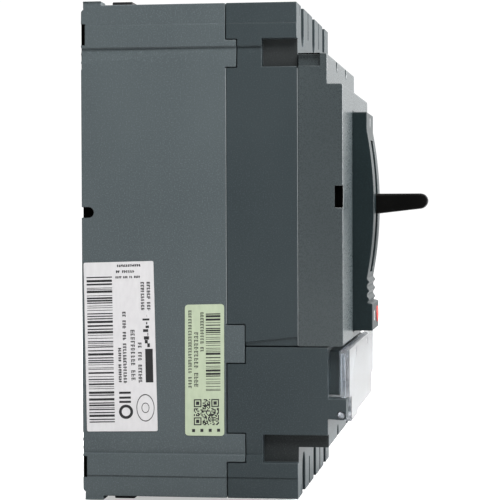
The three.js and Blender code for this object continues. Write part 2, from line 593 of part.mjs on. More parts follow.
// The rods that turn the rotors, seen in the frame of the case: the crank pin of the lower link
const crank = (direction) => [
  ROTOR.depth + direction * ROD.offset * Math.cos(REST_TILT * RADIANS),
  ROTOR_Z - direction * ROD.offset * Math.sin(REST_TILT * RADIANS),
];

function makeLowerLink() {
  const inner = ROTOR.width / 2 + LINK.rotorGap;
  const outer = inner + LINK.thick;
  const knee = [LINK.knee, KNEE_Z];
  const legs = [-1, 1].map((side) => sidePrism(
    linkOutline(crank(1), LINK.crankBoss, knee, LINK.lowerBoss), sorted(side * inner, side * outer)));
  const kneePin = rodX(LINK.kneePin, [-outer, outer], ...knee);
  return cut(join(legs, kneePin), rodX(ROD.radius + HOLE_PLAY, [-outer - 1, outer + 1], ...crank(1)));
}

function makeUpperLink() {
  const knee = [LINK.knee, KNEE_Z];
  const far = [LINK.upper, KNEE_Z];
  const half = CRADLE.inner - LINK.cradleGap;
  const body = sidePrism(linkOutline(knee, LINK.kneeBoss, far, LINK.upperBoss), [-half, half]);
  return cut(body, rodX(LINK.kneePin + LINK.kneePlay, [-half - 1, half + 1], ...knee),
    rodX(LINK.upperPin + HOLE_PLAY, [-half - 1, half + 1], ...far));
}

function makeCradle() {
  const { inner, cheek, depth, tipDepth, tipUp } = CRADLE;
  const outer = inner + cheek;
  const foot = [depth, CRADLE_Z];
  const joint = [LINK.upper, KNEE_Z];
  const tip = [tipDepth, PIVOT_Z + tipUp];
  const cheeks = [-1, 1].flatMap((side) => [
    sidePrism(linkOutline(foot, CRADLE.foot, joint, CRADLE.joint), sorted(side * inner, side * outer)),
    sidePrism(linkOutline(joint, CRADLE.joint, tip, CRADLE.tip), sorted(side * inner, side * outer)),
  ]);
  const bridges = [
    rodX(LINK.upperPin, [-outer, outer], ...joint),
    rodX(CRADLE.tip, [-outer, outer], ...tip),
  ];
  return cut(join(cheeks, bridges), rodX(PIVOT.pin + HOLE_PLAY, [-outer - 1, outer + 1], ...foot));
}

function makeMainSpring(side) {
  const { radius, wire, turns, x, endGap, kneeUp } = MAIN_SPRING;
  const start = new THREE.Vector3(side * x, -(PIVOT.depth + YOKE.bridge - endGap), PIVOT_Z);
  const end = new THREE.Vector3(side * x, -(LINK.knee + endGap), KNEE_Z + kneeUp);
  return coil(start, end, radius, wire, turns);
}

// Contact system, made about the rotor's own axis with the blade upright
function makeRotor() {
  const half = ROTOR.width / 2;
  const body = rodX(ROTOR.radius, [-half, half], 0, 0, 32);
  const play = 2 * ROTOR.bladePlay;
  const bladeSlot = box(around(0, BLADE.width + play), around(0, BLADE.thick + play),
    [-BLADE.half, BLADE.half]);
  const rods = [-1, 1].map((way) =>
    rodX(ROD.radius + HOLE_PLAY, [-half - 1, half + 1], way * ROD.offset, 0));
  return cut(body, bladeSlot, rods);
}

function makeBlade() {
  const { half, thick, width, tip, tipLength } = BLADE;
  const bar = sidePrism(outline([
    [-thick / 2, -half], [thick / 2, -half], [thick / 2, half], [-thick / 2, half],
  ]), around(0, width));
  const tips = [-1, 1].map((way) => box(around(0, width - 1), sorted(-way * (thick / 2 - WELD),
    -way * (thick / 2 + tip)), sorted(way * (half - tipLength), way * half)));
  return join(bar, tips);
}

function makeArcChute() {
  const { wall, plate, plateInset, pitch, sweepGap, sidePlay } = CHUTE;
  const { front, low, tail, notchHalf, notchDeep } = CHUTE;
  const half = CAVITY_HALF - sidePlay;
  const back = PAD.depth + FIXED_TIP.thick + GAP - ROTOR.depth;
  const high = Math.min(tail, CAVITY_TOP - 1 - ROTOR_Z);
  const walls = [-1, 1].map((side) =>
    box(sorted(side * half, side * (half - wall)), [back, front], [low, high]));
  const count = Math.floor((front - back - plate) / pitch) + 1;
  const plates = Array.from({ length: count }, (_, i) =>
    box([-half + WELD, half - WELD], [back + i * pitch, back + i * pitch + plate], [low, high - plateInset]));
  const sweep = rodX(BLADE.half + sweepGap, [-half - 1, half + 1], 0, 0, CHUTE.sides);
  const notch = box(around(0, 2 * notchHalf), [back - 1, front + 1], [low - 1, BLADE.half + notchDeep]);
  return cut(join(walls, plates), sweep, notch);
}

function makeLineTerminal() {
  const depths = [PAD.depth - PAD.thick, PAD.depth];
  const pad = box(around(0, PAD_WIDTH), depths, [WELL_END + GAP, TOP - PAD.endSetback]);
  const tipMiddle = ROTOR_Z + BLADE.half - BLADE.tipLength / 2;
  const strip = box(around(0, STRIP_WIDTH), depths, [tipMiddle - FIXED_TIP.length / 2, WELL_END + 1]);
  const tip = box(around(0, BLADE.width), [PAD.depth - WELD, PAD.depth + FIXED_TIP.thick],
    around(tipMiddle, FIXED_TIP.length));
  return cut(join(pad, strip, tip), rodY(STUD.hole / 2, [0, BASE_DEPTH], 0, STUD_Z));
}

// The load contact steps forward to a flange that ends a little above the foot of its ledge
const LOAD_STEP = { top: 2.8, bottom: 5.8, flangeEnd: 3.3 };

function makeLoadContact() {
  const tipMiddle = ROTOR_Z - BLADE.half + BLADE.tipLength / 2;
  const high = tipMiddle + FIXED_TIP.length / 2;
  const riserZ = [SPLIT - LOAD_STEP.bottom, SPLIT - LOAD_STEP.top];
  const depths = [LOAD_DEPTH, LOAD_DEPTH + PAD.thick];
  const flangeDepths = [LEDGE.front + GAP, LEDGE.front + GAP + PAD.thick];
  return join(
    box(around(0, STRIP_WIDTH), depths, [riserZ[0], high]),
    box(around(0, STRIP_WIDTH), [depths[0], flangeDepths[1]], riserZ),
    box(around(0, STRIP_WIDTH), flangeDepths, [LEDGE_BOTTOM + LOAD_STEP.flangeEnd, riserZ[1]]),
    box(around(0, BLADE.width), [LOAD_DEPTH - FIXED_TIP.thick, LOAD_DEPTH + WELD],
      around(tipMiddle, FIXED_TIP.length)),
  );
}

function makeLoadTerminal() {
  const depths = [PAD.depth - PAD.thick, PAD.depth];
  const pad = box(around(0, PAD_WIDTH), depths, [-TOP + PAD.endSetback, -WELL_END - GAP]);
  const front = HEATER.depth + HEATER.thick;
  return cut(join(
    pad,
    box(around(0, STRIP_WIDTH), [depths[0], front], RISER),
    box(around(0, STRIP_WIDTH), [HEATER.depth, front], [RISER[0], SPLIT - HEATER.top]),
  ), rodY(STUD.hole / 2, [0, BASE_DEPTH], 0, -STUD_Z));
}

function makeNutClip(end) {
  const depths = [NUT_CLIP.back, PAD.depth - PAD.thick - GAP];
  const reach = fromEnd(end, WELL_END + NUT_CLIP.inset, TOP + NUT_CLIP.proud);
  const block = box(around(0, WELL_WIDTH - 2 * NUT_CLIP.sidePlay), depths, reach);
  const threadHole = rodY(STUD.hole / 2 - NUT_CLIP.threadPlay, [0, BASE_DEPTH], 0, end * STUD_Z);
  const relief = box(around(0, WELL_WIDTH - 2 * NUT_CLIP.relief),
    [depths[0] - 1, depths[0] + NUT_CLIP.reliefDeep],
    fromEnd(end, TOP - NUT_CLIP.relief, TOP + NUT_CLIP.proud + 1));
  return cut(block, threadHole, relief);
}

// Trip unit
const PANEL_TOP = SPLIT - DIAL_PANEL.top;
const HINGE_Z = SPLIT - HINGE.down;
const BAR_Z = SPLIT - TRIP_BAR.down;

function makeTripUnitCase() {
  const body = join(
    box([-HALF, HALF], [COVER_BACK, SHOULDER_DEPTH], [-SHOULDER_TOP, SPLIT]),
    box([-HALF, HALF], [COVER_BACK, TERMINAL_DEPTH], [-TOP, -SHOULDER_TOP + 1]),
    box([-HALF + DIAL_PANEL.side, HALF - DIAL_PANEL.side], [SHOULDER_DEPTH - 1, DIAL_PANEL.front],
      [SPLIT - DIAL_PANEL.bottom, PANEL_TOP]),
    [-1, 1].map((side) => box(sorted(side * HALF, side * (HALF - EAR.width)),
      [SHOULDER_DEPTH - 1, EAR.front], [SPLIT - EAR.bottom, SPLIT - EAR.top])),
  );
  const partitionX = [-1.5, -0.5, 0.5, 1.5].map((pole) => pole * POLE_PITCH);
  const rooms = POLES.map((_, i) => box(
    [Math.max(partitionX[i] + 1, -INNER_HALF), Math.min(partitionX[i + 1] - 1, INNER_HALF)],
    [0, SHOULDER_DEPTH - FRONT_WALL], [TRIP_INSIDE.bottom, TRIP_INSIDE.top]));
  const barRoom = box([-INNER_HALF, INNER_HALF],
    [TRIP_BAR.depth - TRIP_ROOM.barBack, TRIP_BAR.depth + TRIP_ROOM.barFront],
    [BAR_Z - TRIP_ROOM.barDown, TRIP_INSIDE.top]);
  const seatHalf = INNER_HALF + TRIP_BAR.seat;
  const barSeats = rodX(TRIP_BAR.radius + HOLE_PLAY, [-seatHalf, seatHalf], TRIP_BAR.depth, BAR_Z);
  const channels = POLES.map((x) => box(around(x, STRIP_WIDTH + 2 * LEDGE.side),
    [0, HEATER.depth + HEATER.thick + 1], [RISER[0] - GAP, TRIP_INSIDE.bottom + 1]));
  const leverSlot = box(around(BUTTON.x, TRIP_BAR.lever + 2 * LEVER_SLOT.side),
    [LEVER_SLOT.back, FRAME_BACK + 1], [SPLIT - TRIP_ROOM.lever, SPLIT + 1]);
  const dialHoles = DIAL.x.map((x) => rodY(DIAL.radius + GAP, [DIAL.back - GAP, DIAL_PANEL.front + 1], x,
    SPLIT - DIAL.down, 24));
  const hingeHoles = rodX(HINGE.radius + GAP, [-HALF - 1, HALF + 1], HINGE.depth, HINGE_Z);
  const shoulderRecess = onBothSides(SIDE_POCKET.deep, (x) => box(x,
    [SIDE_POCKET.back, SHOULDER_DEPTH + 1], [-SHOULDER_TOP - 1, -TOP + SIDE_POCKET.inner]));
  const step = onBothSides(END_STEP.deep, (x) =>
    box(x, [0, TERMINAL_DEPTH + 1], [-TOP - 1, -TOP + END_STEP.setback]));
  const through = [0, SHOULDER_DEPTH + 1];
  return cut(body, rooms, barRoom, barSeats, channels, leverSlot, dialHoles, hingeHoles, shoulderRecess, step,
    tabNotches(TABS.slice(1)), sidePockets(-1, SIDE_POCKET.inner), fingerGrooves(-1, [0, GROOVE.front]),
    driverSlots(-1, through), barrierSlits(-1, through), shieldSlits(-1), fixingHoles(-1, through));
}

const SEAL_SLOT = { width: 1, high: 1.8, low: 4.2 };
const PULL_TAB = { near: 8.5, far: 34, length: 1.3 };
const SEAL = { x: 25, sidePlay: 0.2, knuckle: 3, knuckleHeight: 2.4 };

function makeSealingCover() {
  const { front, thick, back, drop, tail, topGap } = COVER_BOX;
  const half = HALF - SEAL.sidePlay;
  const neckHalf = HALF - EAR.width - GAP;
  const high = SPLIT - topGap;
  const tray = cut(
    box([-half, half], [back, front], [SPLIT - drop, high]),
    box([-half + thick, half - thick], [0, front - thick], [SPLIT - drop - 1, high - thick]),
    [-1, 1].map((side) => box(around(side * SEAL.x, SEAL_SLOT.width), [back, front + 1],
      [SPLIT - SEAL_SLOT.low, SPLIT - SEAL_SLOT.high])),
  );
  const neck = box([-neckHalf, neckHalf], [front - thick - 1, front], [SPLIT - tail, SPLIT - drop + WELD]);
  const pullTab = box([-HALF + PULL_TAB.near, -HALF + PULL_TAB.far], [front - thick - 1, front],
    [SPLIT - tail - PULL_TAB.length, SPLIT - tail + 1]);
  const knuckles = [-1, 1].map((side) => join(
    rodX(HINGE.radius, sorted(side * (neckHalf - SEAL.knuckle), side * (HALF - GAP)), HINGE.depth, HINGE_Z),
    box(sorted(side * neckHalf, side * (neckHalf - SEAL.knuckle)),
      [HINGE.depth - HINGE.radius, front - thick],
      around(HINGE_Z, SEAL.knuckleHeight)),
  ));
  return join(tray, neck, pullTab, knuckles);
}

function makeDial() {
  const { radius, back, front } = DIAL;
  const body = rodY(radius, [back, front], 0, 0, 24);
  return cut(body, box(around(0, DIAL.slotLength), [front - DIAL.slot, front + 1], around(0, DIAL.slot)));
}

function makeTripBar() {
  const { depth, radius, paddle, paddleLength, paddleGap, plate, web, lever, seat, seatGap } = TRIP_BAR;
  const barHalf = INNER_HALF + seat - seatGap;
  const bar = rodX(radius, [-barHalf, barHalf], depth, BAR_Z, 12);
  const paddleBack = BIMETAL.depth + BIMETAL.thick + paddleGap;
  const paddles = POLES.flatMap((x) => [
    box(around(x, paddle), [paddleBack, paddleBack + plate], [BAR_Z - paddleLength, BAR_Z + web / 2]),
    box(around(x, paddle), [paddleBack, depth], around(BAR_Z, web)),
  ]);
  const leverFront = BUTTON.back - GAP;
  const arm = join(
    box(around(BUTTON.x, lever), [depth, leverFront], around(BAR_Z, web)),
    box(around(BUTTON.x, lever), [leverFront - plate, leverFront], [BAR_Z - web / 2, PIVOT_Z - BUTTON.down]),
  );
  return join(bar, paddles, arm);
}

// The button's flange rests behind the escutcheon's front wall, which is thinner than its sides
const BUTTON_SEAT = ESCUTCHEON.flat - ESCUTCHEON.wall / 3 - GAP;

function makeButton() {
  const { radius, flange, flangeThick, stem, front, back } = BUTTON;
  return join(
    rodY(radius, [BUTTON_SEAT - 1, front], 0, 0),
    rodY(flange, [BUTTON_SEAT - flangeThick, BUTTON_SEAT], 0, 0),
    rodY(stem, [back, BUTTON_SEAT], 0, 0, 12),
  );
}

function makeButtonSpring() {
  const shelfFront = FACE_DEPTH - FRAME.wall - GAP;
  const seat = BUTTON_SEAT - BUTTON.flangeThick;
  const { wire, turns } = BUTTON_SPRING;
  const z = PIVOT_Z - BUTTON.down;
  const start = new THREE.Vector3(BUTTON.x, -(shelfFront + wire + GAP), z);
  const end = new THREE.Vector3(BUTTON.x, -(seat - wire - GAP), z);
  return coil(start, end, BUTTON.stem + 2 * wire + GAP, wire, turns);
}

function makeBimetal() {
  const { depth, thick, width, top, foot, heel, heelDown } = BIMETAL;
  const low = TRIP_INSIDE.bottom + foot;
  const heaterFront = HEATER.depth + HEATER.thick + GAP;
  return join(
    box(around(0, width), [depth, depth + thick], [low, SPLIT - top]),
    box(around(0, width), [heaterFront, depth + thick], [low, low + thick]),
    box(around(0, width), [heaterFront, heaterFront + thick], [low - heelDown, low + heel]),
  );
}

function makeArmature() {
  const { depth, thick, width, top, foot, pin, pinReach } = ARMATURE;
  const low = TRIP_INSIDE.bottom + foot;
  const plate = join(
    box(around(0, width), [depth, depth + thick], [low, SPLIT - top]),
    rodX(pin, around(0, width + 2 * pinReach), depth + thick / 2, low, 10),
  );
  const legFront = TRIP_INSIDE.bottom + BIMETAL.foot + BIMETAL.thick;
  const notch = box(around(0, BIMETAL.width + 2 * MOVING_GAP), [0, SHOULDER_DEPTH],
    [low - 2, legFront + MOVING_GAP]);
  return cut(plate, notch);
}

// Labels on the near side of the case
const LABEL = { thick: 0.2, off: 0.05 };

function makeLabel(corners) {
  const back = -HALF - LABEL.off;
  return sidePrism(outline(corners), [back - LABEL.thick, back], 4);
}

const ratingCorners = [[0.6, -3.8], [23.9, -3.2, 0.6], [25.1, -58.9, 0.6], [1.5, -59.3]];
const traceCorners = [[34.3, -17.5, 1.2], [47.2, -17.2, 1.2], [47.1, -60.2, 1.2], [34.2, -60.2, 1.2]];

// Assembly
place("base", makeBase(), GREY);
place("upper_cover", makeUpperCover(), DARK_GREY);
place("front_frame", makeFrontFrame(), DARK_GREY);
place("toggle_escutcheon", makeEscutcheon(), BLACK);
place("trip_unit_case", makeTripUnitCase(), DARK_GREY);
place("sealing_cover", makeSealingCover(), CLEAR);
place("side_rating_label", makeLabel(ratingCorners), PAPER);
place("side_trace_label", makeLabel(traceCorners), GREEN_PAPER);

place("toggle_handle", makeHandle(), BLACK);
place("slot_shutter", makeShutter(), BLACK);
place("toggle_yoke", makeYoke(), ZINC);
place("yoke_pivot_pin",
  rodX(PIVOT.pin, [-CAVITY_HALF + GAP, CAVITY_HALF - GAP], PIVOT.depth, PIVOT_Z), STEEL);
place("mechanism_plate_left", makePlate(-1), ZINC);
place("mechanism_plate_right", makePlate(1), ZINC);
place("cradle_pin", rodX(PIVOT.pin, around(0, 2 * (PLATE.inner + PLATE.thick + PIVOT.pinEnd)),
  CRADLE.depth, CRADLE_Z), STEEL);
place("cradle", makeCradle(), STEEL);
place("upper_link", makeUpperLink(), STEEL);
place("lower_link", makeLowerLink(), STEEL);
place("main_spring_left", makeMainSpring(-1), STEEL);
place("main_spring_right", makeMainSpring(1), STEEL);

const shaft = new THREE.Group();
shaft.position.set(0, -ROTOR.depth, ROTOR_Z);
shaft.rotation.x = REST_TILT * RADIANS;
object.add(shaft);
const rodReach = [-INNER_HALF + ROD.sideGap, INNER_HALF - ROD.sideGap];
place("drive_rod_front", rodX(ROD.radius, rodReach, ROD.offset, 0), STEEL, { parent: shaft });
place("drive_rod_rear", rodX(ROD.radius, rodReach, -ROD.offset, 0), STEEL, { parent: shaft });

POLES.forEach((x, i) => {
  const pole = i + 1;
  const rotorAxis = [x, -ROTOR.depth, ROTOR_Z];
  place(`rotor_${pole}`, makeRotor(), PHENOLIC, { at: [x, 0, 0], parent: shaft });
  place(`moving_contact_${pole}`, makeBlade(), COPPER, { at: [x, 0, 0], parent: shaft });
  place(`line_arc_chute_${pole}`, makeArcChute(), ZINC, { at: rotorAxis });
  place(`load_arc_chute_${pole}`, makeArcChute(), ZINC, { at: rotorAxis, tilt: Math.PI });
  place(`line_terminal_${pole}`, makeLineTerminal(), TINNED, { at: [x, 0, 0] });
  place(`load_contact_${pole}`, makeLoadContact(), COPPER, { at: [x, 0, 0] });
  place(`load_terminal_${pole}`, makeLoadTerminal(), TINNED, { at: [x, 0, 0] });
  place(`line_nut_clip_${pole}`, makeNutClip(1), BLACK, { at: [x, 0, 0] });
  place(`load_nut_clip_${pole}`, makeNutClip(-1), BLACK, { at: [x, 0, 0] });
  place(`bimetal_${pole}`, makeBimetal(), ZINC, { at: [x, 0, 0] });
  place(`armature_${pole}`, makeArmature(), STEEL, { at: [x, 0, 0] });
});

place("trip_bar", makeTripBar(), BLACK);
const dialHeight = SPLIT - DIAL.down;
place("long_time_dial", makeDial(), DIAL_GREY, { at: [DIAL.x[0], 0, dialHeight] });
place("instantaneous_dial", makeDial(), DIAL_GREY, { at: [DIAL.x[1], 0, dialHeight] });
place("push_to_trip_button", makeButton(), RED, { at: [BUTTON.x, 0, PIVOT_Z - BUTTON.down] });
place("button_spring", makeButtonSpring(), STEEL);

export default object;
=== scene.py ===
import json
import math

import bmesh
import bpy
import numpy as np
from mathutils import Matrix, Vector


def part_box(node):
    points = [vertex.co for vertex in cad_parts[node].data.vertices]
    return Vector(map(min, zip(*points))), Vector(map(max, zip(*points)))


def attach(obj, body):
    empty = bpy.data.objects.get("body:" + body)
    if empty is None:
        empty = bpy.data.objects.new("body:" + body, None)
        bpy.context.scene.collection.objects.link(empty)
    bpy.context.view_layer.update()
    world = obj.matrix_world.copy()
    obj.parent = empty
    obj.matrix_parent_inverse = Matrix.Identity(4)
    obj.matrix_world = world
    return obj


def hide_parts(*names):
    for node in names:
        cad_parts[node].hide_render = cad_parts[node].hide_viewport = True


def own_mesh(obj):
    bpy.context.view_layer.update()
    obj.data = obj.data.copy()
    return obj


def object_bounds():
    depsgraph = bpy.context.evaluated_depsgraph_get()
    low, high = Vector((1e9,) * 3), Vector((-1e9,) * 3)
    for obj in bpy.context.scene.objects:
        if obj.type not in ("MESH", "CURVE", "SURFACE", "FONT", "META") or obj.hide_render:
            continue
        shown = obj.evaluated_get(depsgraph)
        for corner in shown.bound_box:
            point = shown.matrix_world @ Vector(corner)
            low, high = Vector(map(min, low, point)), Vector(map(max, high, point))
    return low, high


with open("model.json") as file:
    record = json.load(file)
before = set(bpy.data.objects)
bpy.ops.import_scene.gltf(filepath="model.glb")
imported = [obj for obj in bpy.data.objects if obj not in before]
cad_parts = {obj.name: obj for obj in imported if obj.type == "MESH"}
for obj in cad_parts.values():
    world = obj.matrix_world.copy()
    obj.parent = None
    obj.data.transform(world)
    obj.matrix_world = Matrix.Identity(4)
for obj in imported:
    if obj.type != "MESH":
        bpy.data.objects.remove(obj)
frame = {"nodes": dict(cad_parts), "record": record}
nodes = frame["nodes"]
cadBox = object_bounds()
mm = 0.001


# camera, lights and floor

camera = {
    "place": (-0.6540, -0.1396, 0.0125),
    "heading": 7.934,  # degrees from +X towards the back of the breaker
    "pitch": -1.147,
    "roll": 0.21,
    "lens": 134.86,
}


def addCamera(look):
    # view direction = the heading from +X in the level plane, then raised by the pitch; roll turns it last
    data = bpy.data.cameras.new("viewCamera")
    data.lens = look["lens"]
    data.clip_start = 0.01
    made = bpy.data.objects.new("viewCamera", data)
    heading, pitch = math.radians(look["heading"]), math.radians(look["pitch"])
    level = math.cos(pitch)
    forward = Vector((level * math.cos(heading), level * math.sin(heading), math.sin(pitch)))
    upright = forward.to_track_quat("-Z", "Y").to_matrix().to_4x4()
    made.matrix_world = (Matrix.Translation(look["place"]) @ upright
                         @ Matrix.Rotation(math.radians(-look["roll"]), 4, "Z"))
    bpy.context.scene.collection.objects.link(made)
    bpy.context.scene.camera = made


lamps = {  # name: place, aim, size in metres, power in watts
    "sideSoftbox": ((-0.50, -0.27, 0.62), (0, 0, 0.03), 0.4, 6.0),
    "frontSoftbox": ((0.35, -1.1, 0.35), (0, 0, 0.0), 0.8, 26.0),
    "topSoftbox": ((0.3, 0.1, 1.1), (0, 0, 0.0), 0.8, 6.0),
    "backSoftbox": ((0.4, 0.9, 0.6), (0, 0, 0.0), 0.8, 6.0),
}


def addLamp(name, place, aim, size, power):
    # a square softbox whose face looks from its place to its aim
    data = bpy.data.lights.new(name, "AREA")
    data.shape, data.size, data.energy = "SQUARE", size, power
    made = bpy.data.objects.new(name, data)
    made.location = place
    made.rotation_euler = (Vector(aim) - Vector(place)).to_track_quat("-Z", "Y").to_euler()
    bpy.context.scene.collection.objects.link(made)


studio = {
    "brightSide": (0.76, -0.60, 0.25),
    "turnFrom": -0.75,  # cosines between which the light rises
    "turnTo": 0.65,
    "dim": 0.12,
    "bright": 0.92,
    "seen": 1.06,  # the backdrop as the lens sees it
}


def addWorld(brightSide, turnFrom, turnTo, dim, bright, seen):
    # light = dim to bright as the direction turns towards the bright side; the backdrop itself is even white
    world = bpy.data.worlds.new("studio")
    world.use_nodes = True
    tree = world.node_tree
    coords = tree.nodes.new("ShaderNodeTexCoord")
    turn = tree.nodes.new("ShaderNodeVectorMath")
    turn.operation = "DOT_PRODUCT"
    turn.inputs[1].default_value = brightSide
    tree.links.new(coords.outputs["Generated"], turn.inputs[0])
    ranged = tree.nodes.new("ShaderNodeMapRange")
    ranged.interpolation_type = "SMOOTHSTEP"
    for key, number in (("From Min", turnFrom), ("From Max", turnTo), ("To Min", dim), ("To Max", bright)):
        ranged.inputs[key].default_value = number
    tree.links.new(turn.outputs["Value"], ranged.inputs["Value"])
    path = tree.nodes.new("ShaderNodeLightPath")
    pick = tree.nodes.new("ShaderNodeMix")
    tree.links.new(path.outputs["Is Camera Ray"], pick.inputs["Factor"])
    tree.links.new(ranged.outputs["Result"], pick.inputs[2])
    pick.inputs[3].default_value = seen
    background = tree.nodes["Background"]
    background.inputs["Color"].default_value = (1.0, 1.0, 1.0, 1.0)
    tree.links.new(pick.outputs[0], background.inputs["Strength"])
    bpy.context.scene.world = world


addCamera(camera)
for name, (place, aim, size, power) in lamps.items():
    addLamp(name, place, aim, size, power)
addWorld(**studio)
bpy.context.scene.view_settings.view_transform = "Standard"
print("camera and lights ready")


# materials

def newMaterial(name):
    material = bpy.data.materials.new(name)
    material.use_nodes = True
    return material, material.node_tree, material.node_tree.nodes["Principled BSDF"]


def noiseOf(tree, perMetre, detail=2.0, stretch=(1, 1, 1)):
    # noise in object space, with this many features per metre, scaled on each axis by its stretch factor
    coords = tree.nodes.new("ShaderNodeTexCoord")
    mapping = tree.nodes.new("ShaderNodeMapping")
    mapping.inputs["Scale"].default_value = stretch
    tree.links.new(coords.outputs["Object"], mapping.inputs["Vector"])
    noise = tree.nodes.new("ShaderNodeTexNoise")
    noise.inputs["Scale"].default_value = perMetre
    noise.inputs["Detail"].default_value = detail
    tree.links.new(mapping.outputs["Vector"], noise.inputs["Vector"])
    return noise.outputs["Fac"]


def mixed(tree, factor, first, second):
    # colour = first to second as the factor goes from 0 to 1; either may be a colour or a socket
    mix = tree.nodes.new("ShaderNodeMix")
    mix.data_type = "RGBA"
    tree.links.new(factor, mix.inputs["Factor"])
    for socket, value in ((mix.inputs[6], first), (mix.inputs[7], second)):
        if isinstance(value, bpy.types.NodeSocket):
            tree.links.new(value, socket)
        else:
            socket.default_value = (*value, 1.0)
    return mix.outputs[2]


def spread(tree, value, low, high, fromLow=0.3, fromHigh=0.7):
    # the value's middle range stretched to low and high
    ranged = tree.nodes.new("ShaderNodeMapRange")
    for key, number in (("From Min", fromLow), ("From Max", fromHigh), ("To Min", low), ("To Max", high)):
        ranged.inputs[key].default_value = number
    tree.links.new(value, ranged.inputs["Value"])
    return ranged.outputs["Result"]


def bumped(tree, shader, height, depth, strength=1.0, under=None):
    # normal = the height's slope, with its depth in metres, on top of the bump under it
    bump = tree.nodes.new("ShaderNodeBump")
    bump.inputs["Distance"].default_value = depth
    bump.inputs["Strength"].default_value = strength
    tree.links.new(height, bump.inputs["Height"])
    if under:
        tree.links.new(under, bump.inputs["Normal"])
    tree.links.new(bump.outputs["Normal"], shader.inputs["Normal"])
    return bump.outputs["Normal"]


plastics = {
    "baseGrey": {"dark": (0.078, 0.096, 0.103), "light": (0.093, 0.113, 0.120),
                 "rough": (0.34, 0.44), "shine": 0.25},
    "coverGrey": {"dark": (0.033, 0.045, 0.050), "light": (0.043, 0.056, 0.061),
                  "rough": (0.30, 0.40), "shine": 0.25},
    "frameGrey": {"dark": (0.042, 0.054, 0.058), "light": (0.052, 0.066, 0.070),
                  "rough": (0.24, 0.32), "shine": 0.7},
    # painted shade: dark grey for the faces inside the shallow side pockets
    "paintedPocketShade": {"dark": (0.020, 0.024, 0.025), "light": (0.030, 0.034, 0.035),
                   "rough": (0.55, 0.70), "shine": 0.2},
    "noseBlack": {"dark": (0.010, 0.017, 0.019), "light": (0.014, 0.024, 0.026),
                  "rough": (0.28, 0.36), "shine": 0.2},
    "handleBlack": {"dark": (0.0018, 0.0018, 0.0016), "light": (0.003, 0.003, 0.0028),
                    "rough": (0.42, 0.5), "shine": 0.06},
    "clipBlack": {"dark": (0.012, 0.012, 0.013), "light": (0.020, 0.020, 0.021),
                  "rough": (0.45, 0.6), "shine": 0.3},
    # painted shade: near black for the faces inside slots and the snap window
    "paintedShadeBlack": {"dark": (0.0010, 0.0010, 0.0010), "light": (0.002, 0.002, 0.002),
                  "rough": (0.7, 0.8), "shine": 0.0},
    # painted highlight: pale grey for the strips along the case joints
    "paintedEdgeHighlight": {"dark": (0.22, 0.25, 0.26), "light": (0.30, 0.33, 0.34),
                 "rough": (0.4, 0.5), "shine": 0.3},
    "dialGrey": {"dark": (0.50, 0.53, 0.55), "light": (0.60, 0.62, 0.63),
                 "rough": (0.35, 0.45), "shine": 0.5},
    "buttonRed": {"dark": (0.42, 0.020, 0.012), "light": (0.52, 0.030, 0.018),
                  "rough": (0.28, 0.38), "shine": 0.5},
    "rotorResin": {"dark": (0.17, 0.075, 0.035), "light": (0.25, 0.12, 0.06),
                   "rough": (0.5, 0.65), "shine": 0.4},
}


def mouldedPlastic(name, dark, light, rough, shine):
    # colour = dark and light tones mixed by slow clouds, with fine pale specks where a small noise peaks
    # bump = fine grain of the mould on top of long shallow flow waves
    material, tree, shader = newMaterial(name)
    clouds = noiseOf(tree, 28, 3.0, (1, 1, 0.6))
    specks = noiseOf(tree, 2400, 1.0)
    grain = noiseOf(tree, 2600, 3.0)
    tone = mixed(tree, spread(tree, clouds, 0, 1), dark, light)
    paler = tuple(channel * 1.35 for channel in light)
    peaks = spread(tree, specks, 0, 0.9, 0.52, 0.74)
    tree.links.new(mixed(tree, peaks, tone, paler), shader.inputs["Base Color"])
    tree.links.new(spread(tree, grain, *rough), shader.inputs["Roughness"])
    shader.inputs["Specular IOR Level"].default_value = shine
    waves = bumped(tree, shader, noiseOf(tree, 90, 2.0, (1, 0.3, 1)), 0.00003, 0.3)
    bumped(tree, shader, grain, 0.00002, 0.35, waves)
    return material


metals = {
    "zincSteel": {"dark": (0.46, 0.47, 0.44), "light": (0.60, 0.60, 0.55), "rough": (0.28, 0.45)},
    "brightSteel": {"dark": (0.50, 0.51, 0.52), "light": (0.62, 0.62, 0.63), "rough": (0.18, 0.32)},
    "springSteel": {"dark": (0.33, 0.34, 0.36), "light": (0.46, 0.47, 0.49), "rough": (0.22, 0.36)},
    "chuteSteel": {"dark": (0.36, 0.36, 0.33), "light": (0.52, 0.52, 0.48), "rough": (0.30, 0.50)},
    "copper": {"dark": (0.55, 0.25, 0.15), "light": (0.75, 0.38, 0.25), "rough": (0.22, 0.42)},
    "tinnedCopper": {"dark": (0.56, 0.56, 0.53), "light": (0.70, 0.70, 0.67), "rough": (0.24, 0.40)},
}


def workedMetal(name, dark, light, rough):
    # colour = two tones mixed by cloudy tarnish; roughness and bump follow long brushed streaks
    material, tree, shader = newMaterial(name)
    clouds = noiseOf(tree, 120, 4.0)
    streaks = noiseOf(tree, 900, 3.0, (1, 1, 0.06))
    tree.links.new(mixed(tree, spread(tree, clouds, 0, 1), dark, light), shader.inputs["Base Color"])
    tree.links.new(spread(tree, streaks, *rough), shader.inputs["Roughness"])
    shader.inputs["Metallic"].default_value = 1.0
    bumped(tree, shader, streaks, 0.00001, 0.5)
    return material


def printedFilm(name, dark, light):
    # colour = paper tone with faint fibres; a satin varnish on top
    material, tree, shader = newMaterial(name)
    fibres = noiseOf(tree, 800, 5.0, (1, 1, 0.35))
    tree.links.new(mixed(tree, spread(tree, fibres, 0, 1), dark, light), shader.inputs["Base Color"])
    tree.links.new(spread(tree, fibres, 0.36, 0.46), shader.inputs["Roughness"])
    bumped(tree, shader, fibres, 0.00001, 0.3)
    return material


